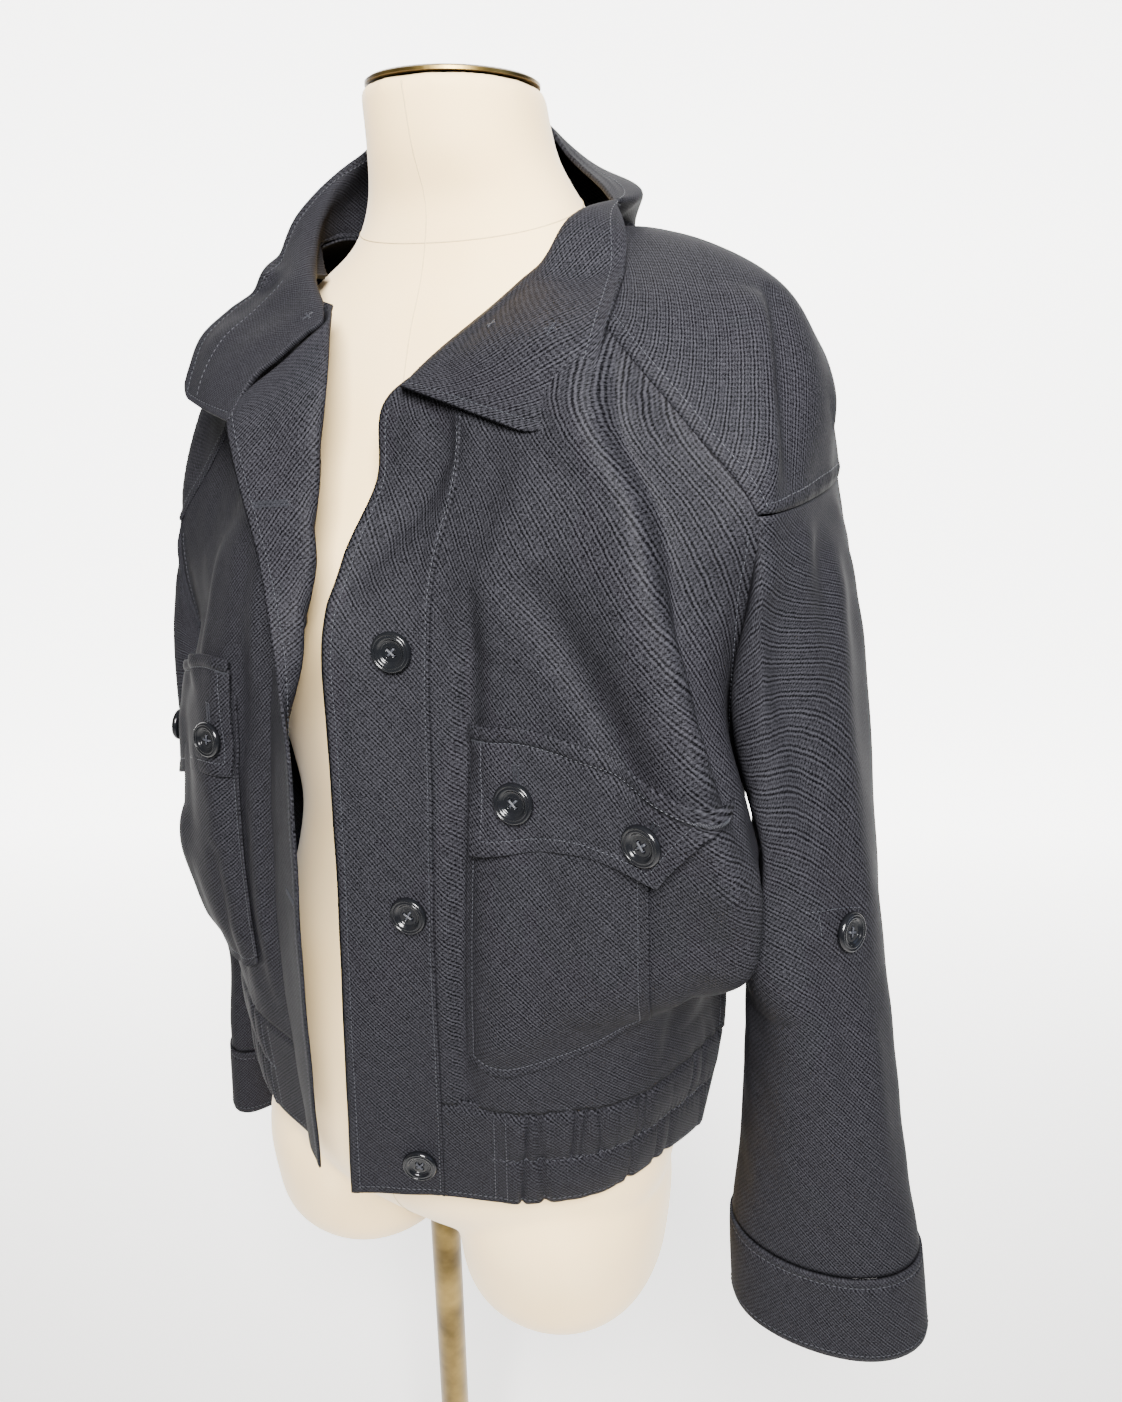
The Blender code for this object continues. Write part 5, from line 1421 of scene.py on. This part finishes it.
SLEEVE_TAB = {1: 0.12, -1: 0.19}  # share of the way round; the right sleeve hangs turned further out
sleeves = {}
for side, word, folds, seed in ((1, "left", LEFT_SLEEVE_CREASES, 61), (-1, "right", RIGHT_SLEEVE_CREASES, 63)):
    surface = sleeve_surface(side)
    cuff_start, cuff_end = float(surface.along[-2]), float(surface.along[-1])
    place = sleeve_place(surface, folds, seed, cuff_start)
    around = np.linspace(SEAM_AT, SEAM_AT + 1, 129)[None, :]
    down = (0.0008 + (cuff_start - 0.0012) * fine_near(cuff_start, 0.0036))[:, None]
    body = [(panel, BAND_TOP, SHOULDER_POINT) for panel in (left_surface if side > 0 else right_surface, back_surface)]
    points = beyond(place(around[:, :-1], down), body, 0.0034 * soft(0.002, 0.030, down), 0.006)
    girth = float(surface.lengths.mean())
    uv = (around - SEAM_AT) * girth, np.broadcast_to(-down, (len(down), 129))
    sleeve = cloth_piece(f"{word}_sleeve_tube", points, uv, f"{word}_sleeve", facing=-side, wrap=True)
    turned_cuff = cuff_place(surface, seed + 1, cuff_start, cuff_end)
    fall = cuff_start + SEAM_GAP + (cuff_end - cuff_start - SEAM_GAP) * fine_near(
        cuff_end - cuff_start, 0.0032, marks=(0.0062,)
    )[:, None]
    uv = (around - SEAM_AT) * girth, np.broadcast_to(-fall, (len(fall), 129))
    cuff = cloth_piece(
        f"{word}_turned_cuff", turned_cuff(around[:, :-1], fall), uv, f"{word}_cuff", -side, True, thickness=0.0024
    )
    ring = np.linspace(SEAM_AT, SEAM_AT + 1, 200)
    lines = [
        line_on(turned_cuff, ring, cuff_start + 0.0062, -side, 0.002),
        line_on(turned_cuff, ring, cuff_end - 0.0050, -side, 0.002),
    ]
    tab = SLEEVE_TAB[side]
    lines_tab = [
        line_on(place, tab + np.linspace(-0.080, 0.040, 24), 0.221 + 0.016 * np.linspace(0, 1, 24), -side, 0.002),
        line_on(place, tab - 0.0575, np.linspace(0.226, 0.240, 8), -side, 0.002),
    ]
    threads = stitches(f"{word}_cuff_stitches", lines, 0.0012)
    tab_threads = stitches(f"{word}_tab_stitches", lines_tab)
    declare(sleeve, form)
    declare(cuff, sleeve)
    sleeves[side] = place


# ---------------------------------------------------------------- collar
# The collar is two layers of twill over interlining, bagged out, pressed and topstitched. It is sewn round the
# neckline, stands up behind the neck and falls open over both fronts.

COLLAR = table(
    "station seam_x seam_y seam_z roll_x roll_y roll_z edge_x edge_y edge_z",
    (0.00, -74, -62, 1167, -104, -50, 1172, -134, -36, 1178),
    (0.06, -66, -48, 1190, -100, -40, 1191, -136, -26, 1193),
    (0.13, -52, -40, 1202, -92, -28, 1208, -137, -12, 1211),
    (0.20, -40, -33, 1213, -78, -14, 1224, -127, 3, 1226),
    (0.27, -32, -24, 1223, -68, -2, 1242, -105, 18, 1245),
    (0.34, -64, 8, 1242, -78, 24, 1262, -101, 44, 1282),
    (0.42, -93, 58, 1268, -90, 64, 1288, -80, 82, 1318),
    (0.50, -84, 120, 1278, -80, 122, 1304, -56, 116, 1340),
    (0.58, 0, 164, 1285, 0, 167, 1314, 0, 142, 1350),
    (0.66, 82, 132, 1276, 86, 120, 1296, 57, 103, 1310),
    (0.73, 97, 76, 1274, 109, 80, 1284, 99, 62, 1286),
    (0.80, 100, 22, 1250, 99, 19, 1270, 127, 26, 1262),
    (0.86, 70, -8, 1224, 78, -16, 1229, 138, -4, 1232),
    (0.92, 45, -28, 1200, 54, -34, 1206, 145, -40, 1202),
    (0.97, 34, -36, 1191, 41, -41, 1194, 144, -60, 1182),
    (1.00, 28, -39, 1187, 33, -45, 1188, 128, -68, 1168),
)
collar_surface = Surface(COLLAR["station"], points_of(COLLAR, "seam", "roll", "edge"), facing=-1)
COLLAR_LENGTH = 0.62  # along the middle of the collar, tip to tip


def collar_station(share, part):
    """Station of a share across and a part along, with the two tips rounded off."""
    corner = 1 - np.sqrt(1 - np.clip((share - 0.84) / 0.16, 0, 0.995) ** 2)
    first, last = 0.030 * corner, 1 - 0.024 * corner
    return first + (last - first) * part


def collar_place(share, part):
    station = collar_station(share, part)
    width = collar_surface.width(station)
    across, along = share * width, part * COLLAR_LENGTH
    edge = np.minimum(width - across, np.minimum(part, 1 - part) * COLLAR_LENGTH)
    relief = ripples(across, along, 71, 0.05, 0.0005) * soft(0, 0.02, edge)
    relief = relief - 0.0004 * np.exp(-(((edge - 0.0065) / 0.0013) ** 2))
    point = collar_surface.at(share, station) + collar_surface.normal(share, station) * relief[..., None]
    return clear_of_form(point, 0.0030)


def stand_depth(part):
    """How far the collar's stand reaches down inside the jacket behind the neck."""
    station = collar_station(0.0, part)
    return 0.030 * soft(0.33, 0.44, station) * soft(0.86, 0.76, station)


end_marks = (0.0003, 0.0065, COLLAR_LENGTH - 0.0065, COLLAR_LENGTH - 0.0003)
part = fine_near(COLLAR_LENGTH, 0.0024, marks=end_marks)[:, None]
share = fine_near(0.09, 0.0020, marks=(0.0835, 0.0897))[None, :]
width = collar_surface.width(collar_station(0.0, part))
share = share - stand_depth(part) / width * (1 - share)
points = collar_place(share, part)
sunk = np.clip(-share * width / 0.030, 0, 1)
middle = ring_at(TORSO, np.clip(points[..., 2], 0.586, 1.343))[1]
to_neck = np.stack([-points[..., 0], middle - points[..., 1]], -1)
to_neck /= np.linalg.norm(to_neck, axis=-1, keepdims=True)
points[..., :2] += 0.016 * soft(0, 1, sunk)[..., None] * to_neck
points = clear_of_form(points, 0.0030)
under = [(left_surface, 1.075, NECK_SEAM), (right_surface, 1.075, NECK_SEAM), (caps[1], 0, 1), (caps[-1], 0, 1)]
points = beyond(points, under, 0.0042, 0.009)
normals = np.cross(np.gradient(points, axis=0), np.gradient(points, axis=1))
normals /= np.linalg.norm(normals, axis=-1, keepdims=True)
leaf, leaf_part, leaf_share = (points, normals), part[:, 0], share[0]


def on_grid(rows, columns):
    """Points and normals of the collar's grid at fractions of the way along and across."""
    rows, columns = np.broadcast_arrays(rows, columns)
    places = []
    for values in leaf:
        row = np.interp(rows, leaf_part, np.arange(len(leaf_part)))
        column = np.interp(columns, leaf_share, np.arange(len(leaf_share)))
        low = np.minimum(row.astype(int), len(leaf_part) - 2)
        left = np.minimum(column.astype(int), len(leaf_share) - 2)
        down, aside = (row - low)[:, None], (column - left)[:, None]
        upper = values[low, left] * (1 - aside) + values[low, left + 1] * aside
        lower = values[low + 1, left] * (1 - aside) + values[low + 1, left + 1] * aside
        places.append(upper * (1 - down) + lower * down)
    return places


uv = share * 0.09, part * COLLAR_LENGTH
collar = layered_piece("collar_leaf", points, normals, uv, "collar", facing=-1, half=0.0014, free=(1, 1, 1, 0))
run = np.linspace(0.012, 0.988, 400)
edge_share = 1 - 0.0065 / collar_surface.width(collar_station(0.93, run))
ends = np.linspace(0.06, 0.93, 60)
slant = np.linspace(0.015, 0.26, 90)
collar_lines = [on_grid(run, edge_share), on_grid(0.0105, ends), on_grid(0.9895, ends), on_grid(slant, 0.66)]
collar_lines += [(line, -ways) for line, ways in collar_lines]
collar_thread = stitches("collar_stitches", collar_lines, 0.0014)
declare(collar, form)


# ---------------------------------------------------------------- buttons
# Nine glossy black buttons, 23 mm wide with four holes, moulded from polyester and dished inside a double rim. Each
# is sewn on with a cross of black thread that also makes a short shank.

STANDOFF = 0.0008  # the thread shank under a button
HOLE_RADIUS, HOLE_REACH, HOLE_DEPTH = 0.00095, 0.0027, 0.0022

gloss, tree, shader = finish("Moulded polyester, gloss black", 0.14, Specular_IOR_Level=0.26)
# Polishing haze in clouds of about 2 mm keeps the highlight from being perfectly even.
place = add(tree, "ShaderNodeTexCoord").outputs["Object"]
haze = add(tree, "ShaderNodeTexNoise", {"Vector": place, "Scale": 450.0, "Detail": 3.0})
rough = add(tree, "ShaderNodeMapRange", {"Value": haze, "To Min": 0.10, "To Max": 0.24})
tree.links.new(rough.outputs[0], shader.inputs["Roughness"])
shader.inputs["Base Color"].default_value = linear("#0b0c0e")

RIM = table(
    "radius level",
    (0, 2.10), (5.6, 2.20), (6.5, 2.35), (7.4, 3.30), (8.0, 3.75), (8.7, 3.80), (9.1, 3.45), (9.5, 3.50), (9.9, 3.95),
    (10.4, 3.90), (11.0, 3.30), (11.5, 2.20), (11.45, 1.20), (10.9, 0.30), (10.0, 0.0), (3.0, 0.0),
)


def button_mesh(turn):
    """A button about the origin: the rim's profile swept round, with four holes pressed into its floor."""
    rim_at, sides = np.linspace(1, 15, 29), 54
    radius = np.concatenate([np.linspace(0.0003, 0.0056, 18), np.interp(rim_at, np.arange(16), RIM["radius"])])
    level = np.concatenate([np.full(18, 0.0021), np.interp(rim_at, np.arange(16), RIM["level"])])
    angle = np.linspace(0, 2 * math.pi, sides, endpoint=False)
    x, y = radius[:, None] * np.cos(angle), radius[:, None] * np.sin(angle)
    z = np.broadcast_to(level[:, None], x.shape).copy()
    for k in range(4):
        way = turn + math.pi / 4 + k * math.pi / 2
        distance = np.hypot(x - HOLE_REACH * math.cos(way), y - HOLE_REACH * math.sin(way))
        hole = soft(HOLE_RADIUS + 0.0002, HOLE_RADIUS - 0.0002, distance)
        z = z - np.where(np.arange(len(radius))[:, None] < 20, HOLE_DEPTH * 0.7 * hole, 0)
    points = np.concatenate([np.stack([x, y, z], -1).reshape(-1, 3), [[0, 0, 0.0021], [0, 0, 0]]])
    rows = len(radius)
    around, last = np.arange(sides), (rows - 1) * sides
    top = np.stack([np.full(sides, rows * sides), around, np.roll(around, -1)], -1)
    bottom = np.stack([np.full(sides, rows * sides + 1), last + np.roll(around, -1), last + around], -1)
    return points, grid_faces(rows, sides, wrap=True, flip=True).tolist() + top.tolist() + bottom.tolist()


def standing(points, centre, normal):
    """Points about the origin moved so that their Z runs along the normal at the centre, upright in the cloth."""
    right = np.cross([0.0, 0.0, 1.0], normal)
    right /= np.linalg.norm(right)
    up = np.cross(normal, right)
    return centre + points @ np.stack([right, up, normal])


def crossed_thread(turn):
    """Two diagonal wraps of thread through the holes, a knot of loose ends over them and the shank below."""
    parts = []
    for k in range(2):
        way = turn + math.pi / 4 + k * math.pi / 2
        for offset in (-0.00036, 0.0, 0.00036):
            t = np.linspace(-1, 1, 13)
            along = 1.04 * HOLE_REACH * np.clip(t * 1.15, -1, 1)
            rise = 0.0021 + 0.00045 + 0.0003 * k - 0.0024 * np.clip(np.abs(t) - 0.86, 0, 1) / 0.14
            x = along * math.cos(way) - offset * math.sin(way)
            y = along * math.sin(way) + offset * math.cos(way)
            parts.append(tube(np.stack([x, y, rise], -1), 0.00026))
    angle = np.linspace(0, 2 * math.pi * 4, 60)
    shank = np.stack([0.0013 * np.cos(angle), 0.0013 * np.sin(angle), np.linspace(-STANDOFF, 0.0, 60)], -1)
    parts.append(tube(shank, 0.00030))
    return parts


def top_point(place, first, second, facing, half, step=0.004):
    """The highest point of the cloth's face round a spot, and the normal there."""
    point, normal = with_normals(place, np.array([first]), np.array([second]), facing, step)
    return point[0] + normal[0] * (half + STANDOFF), normal[0]


def on_patch(place, base, across, height, facing):
    """Along and down of a patch nearest to a spot on the panel under it."""
    along, down = np.meshgrid(np.linspace(0, 1, 90), np.linspace(0, 1, 50))
    wanted = base(np.array([across]), np.array([height]))[0]
    nearest = np.unravel_index(((place(along, down) - wanted) ** 2).sum(axis=-1).argmin(), along.shape)
    return along[nearest], down[nearest]


spots = {
    "placket_button_1": top_point(left_placket_place, 0.041, 1.055, 1, 0.0011),
    "placket_button_2": top_point(left_placket_place, 0.047, 0.900, 1, 0.0011),
    "placket_button_3": top_point(left_placket_place, 0.047, 0.713, 1, 0.0011),
    "left_flap_button_1": top_point(
        left_flap_place, *on_patch(left_flap_place, left_base, 0.117, 0.985, 1), -1, 0.0009, 0.02
    ),
    "left_flap_button_2": top_point(
        left_flap_place, *on_patch(left_flap_place, left_base, 0.192, 0.982, 1), -1, 0.0009, 0.02
    ),
    "right_flap_button_1": top_point(
        right_flap_place, *on_patch(right_flap_place, right_base, 0.056, 0.972, -1), 1, 0.0009, 0.02
    ),
    "right_flap_button_2": top_point(
        right_flap_place, *on_patch(right_flap_place, right_base, 0.143, 0.950, -1), 1, 0.0009, 0.02
    ),
    "left_sleeve_button": top_point(sleeves[1], SLEEVE_TAB[1], 0.243, -1, CLOTH / 2, 0.01),
    "right_sleeve_button": top_point(sleeves[-1], SLEEVE_TAB[-1], 0.243, 1, CLOTH / 2, 0.01),
}
turns = (0.10, 0.30, -0.05, 0.05, -0.10, 0.78, 0.20, 0.45, 0.15)
thread_parts = []
buttons = []
for (node, (centre, normal)), turn in zip(spots.items(), turns):
    points, faces = button_mesh(turn)
    button = mesh_piece(node + "_disc", standing(points, centre, normal), faces, gloss)
    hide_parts(node)
    buttons.append(button)
    thread_parts += [(standing(part_points, centre, normal), faces) for part_points, faces in crossed_thread(turn)]
points, faces = join_parts(thread_parts)
mesh_piece("button_threads", points, faces, thread)


# ---------------------------------------------------------------- buttonholes and loose threads
# The hand-finished places: satin-stitched buttonholes over the flap buttons and in the turned-out placket, bar tacks
# at the flaps' corners, the marks left by pulled basting on the collar, and one loose tack at the right edge.


def satin(line, above, width=0.0022, pitch=0.0008):
    """A dense zigzag of thread along (points, normals), above the cloth's middle by above."""
    points, normals = line
    run = np.concatenate([[0.0], np.cumsum(np.linalg.norm(np.diff(points, axis=0), axis=1))])
    wanted = np.arange(0, run[-1], pitch / 2)
    spot = np.stack([np.interp(wanted, run, points[:, axis]) for axis in range(3)], -1)
    up = np.stack([np.interp(wanted, run, normals[:, axis]) for axis in range(3)], -1)
    side = np.cross(up, np.gradient(spot, axis=0))
    side /= np.linalg.norm(side, axis=1, keepdims=True)
    swing = 0.5 * width * np.where(np.arange(len(wanted)) % 2, 1.0, -1.0)[:, None]
    return tube(spot + side * swing + up * (above + 0.00015), 0.00024, 5)


def buttonhole(place, along, low, high, facing, half):
    """Two satin rows with the slit between them, along the second coordinate of a patch."""
    lines = [line_on(place, along + aside, np.linspace(low, high, 30), facing, 0.006) for aside in (-0.009, 0.009)]
    return [satin(line, half, 0.0016) for line in lines]


work = []
for place, base, across, height, facing in (
    (left_flap_place, left_base, 0.117, 0.985, 1),
    (left_flap_place, left_base, 0.192, 0.982, 1),
    (right_flap_place, right_base, 0.056, 0.972, -1),
    (right_flap_place, right_base, 0.143, 0.950, -1),
):
    along, down = on_patch(place, base, across, height, facing)
    work += buttonhole(place, along, down - 0.30, down, -facing, 0.0009)
for height in (1.129, 0.900):
    turned = [line_on(right_placket_place, np.linspace(0.60, 0.93, 30), height + rise, way, 0.002)
              for rise in (-0.0009, 0.0009) for way in (1, -1)]
    work += [satin(line, 0.0011, 0.0016) for line in turned]
for place, facing in ((left_flap_place, 1), (right_flap_place, -1)):
    for start, end in ((0.01, 0.085), (0.915, 0.99)):
        work.append(satin(line_on(place, np.linspace(start, end, 20), 0.115, -facing, 0.006), 0.0009, 0.0020, 0.0007))
for at, level, length in ((0.894, 0.32, 0.006), (0.912, 0.75, 0.008), (0.238, 0.12, 0.016)):
    run = at + np.linspace(-0.5, 0.5, 16) * length / COLLAR_LENGTH
    for points_at, ways in (on_grid(run, level), on_grid(at, level + np.linspace(-0.03, 0.03, 16))):
        work += [satin((points_at, way), 0.0014, 0.0012, 0.0011) for way in (ways, -ways)]
# The loose tack: a thread that leaves the cross seam, loops once outside the edge and comes back.
t = np.linspace(0, 1, 60)
tack_at = line_on(right_placket_place, np.array([0.10]), np.array([1.0690]), 1, 0.002)
edge_point, edge_way = tack_at[0][0], tack_at[1][0]
loop = np.stack(
    [
        0.0150 * np.sin(math.pi * t) * (1 - 0.25 * np.sin(9 * t)) - 0.002,
        0.0020 + 0.0030 * np.sin(7 * t),
        0.0115 * np.sin(2 * math.pi * t) + 0.0040 * np.sin(5 * math.pi * t) * t,
    ],
    -1,
)
work.append(tube(edge_point + 0.0016 * edge_way + loop * [1.0, -1.0, 1.0], 0.00028, 5))
for turn, size in ((0.3, 0.006), (1.9, 0.005), (2.8, 0.007)):
    droop = size * (t * math.sin(turn) - 0.4 * t * t)
    bristle = np.stack([size * t * math.cos(turn), -0.0008 - 0.002 * t, droop], -1)
    work.append(tube(edge_point + 0.0012 * edge_way + bristle, 0.00024, 5))
points, faces = join_parts(work)
mesh_piece("buttonholes_and_tacks", points, faces, thread)


# ---------------------------------------------------------------- studio
# A seamless pale paper sweep under soft daylight: a near window in front on the wearer's left, a cool sky window
# beside it, a weak warm fill from the right and a pale surround. The paper itself glows white with painted light:
# an emission that starts 0.2 m behind the form, reaches full 1.7 m behind and fades far out to the sides.

paper, tree, shader = finish("Matt background paper, warm white, painted glow", 0.95)
place = add(tree, "ShaderNodeTexCoord").outputs["Object"]
grain = add(tree, "ShaderNodeTexNoise", {"Vector": place, "Scale": 40.0, "Detail": 2.0})
ramp = add(tree, "ShaderNodeValToRGB", {"Fac": grain})
ramp.color_ramp.elements[0].color, ramp.color_ramp.elements[1].color = linear("#f3f2f0"), linear("#f6f5f3")
tree.links.new(ramp.outputs["Color"], shader.inputs["Base Color"])
# Painted light: the paper glows, with no emission in front of the form, rising behind it and fading far to the sides.
tree.links.new(ramp.outputs["Color"], shader.inputs["Emission Color"])
behind = add(tree, "ShaderNodeVectorMath", (place, (-0.454, 0.891, 0.0)), operation="DOT_PRODUCT")
depth = behind.outputs["Value"]
painted_glow_behind = add(tree, "ShaderNodeMapRange", {"Value": depth, "From Min": 0.2, "From Max": 1.7, "To Max": 5.2})
beside = add(tree, "ShaderNodeVectorMath", (place, (0.891, 0.454, 0.0)), operation="DOT_PRODUCT")
far_out = add(tree, "ShaderNodeMath", (beside.outputs["Value"],), operation="ABSOLUTE")
falling = add(
    tree, "ShaderNodeMapRange", {"Value": far_out, "From Min": 2.3, "From Max": 3.2, "To Min": 1.0, "To Max": 0.12}
)
painted_glow = add(tree, "ShaderNodeMath", (painted_glow_behind, falling), operation="MULTIPLY")
tree.links.new(painted_glow.outputs[0], shader.inputs["Emission Strength"])
bend = np.linspace(0, math.pi / 2, 24)
curve = np.concatenate(
    [
        [[-3.0, 0.0]],
        np.stack([2.0 + 1.5 * np.sin(bend), 1.5 - 1.5 * np.cos(bend)], -1),
        [[3.5, 6.0]],
    ]
)
heading = np.array([-math.sin(math.radians(27)), math.cos(math.radians(27))])
aside = np.array([heading[1], -heading[0]])
sweep = []
for reach in (-6.0, 6.0):
    flat = curve[:, :1] * heading + reach * aside
    sweep.append(np.concatenate([flat, curve[:, 1:]], axis=1))
mesh = bpy.data.meshes.new("paper_sweep")
mesh.from_pydata(np.concatenate(sweep).tolist(), [], grid_faces(2, len(curve), flip=True).tolist())
mesh.shade_smooth()
mesh.materials.append(paper)
floor = bpy.data.objects.new("paper_sweep", mesh)
bpy.context.scene.collection.objects.link(floor)


def soft_light(name, place, aim, size, watts, colour):
    """A square area light at a place, turned towards an aim."""
    lamp = bpy.data.lights.new(name, "AREA")
    lamp.shape = "SQUARE"
    lamp.size = size
    lamp.energy = watts
    lamp.color = linear(colour)[:3]
    holder = bpy.data.objects.new(name, lamp)
    holder.location = place
    holder.visible_camera = False
    way = np.array(aim) - np.array(place)
    holder.rotation_euler = (
        math.atan2(math.hypot(way[0], way[1]), -way[2]),
        0.0,
        math.atan2(-way[0], way[1]),
    )
    bpy.context.scene.collection.objects.link(holder)
    return holder


key = soft_light("Window light", (0.60, -0.90, 1.75), (0.10, 0.0, 1.0), 0.5, 135, "#fffdfc")
sky = soft_light("Sky window", (2.6, 0.5, 2.2), (0.1, 0.0, 1.0), 1.6, 18, "#c4d8ff")
fill = soft_light("Fill", (-2.2, -1.6, 1.9), (0.0, 0.0, 1.0), 2.4, 8, "#fff3e2")
top = soft_light("Ceiling", (0.0, 0.2, 3.6), (0.0, 0.1, 1.0), 3.0, 10, "#ffffff")
world = bpy.data.worlds.new("Studio")
world.use_nodes = True
world.node_tree.nodes["Background"].inputs["Color"].default_value = linear("#f4f5f8")
world.node_tree.nodes["Background"].inputs["Strength"].default_value = 0.12
bpy.context.scene.world = world

camera_data = bpy.data.cameras.new("Camera")
camera_data.lens = 25.93
camera_data.sensor_fit = "VERTICAL"
camera_data.sensor_height = 36.0
camera = bpy.data.objects.new("Camera", camera_data)
camera.location = (0.356, -0.497, 1.22)
camera.rotation_euler = (math.radians(69.4), 0.0, math.radians(27.0))
bpy.context.scene.collection.objects.link(camera)
bpy.context.scene.camera = camera
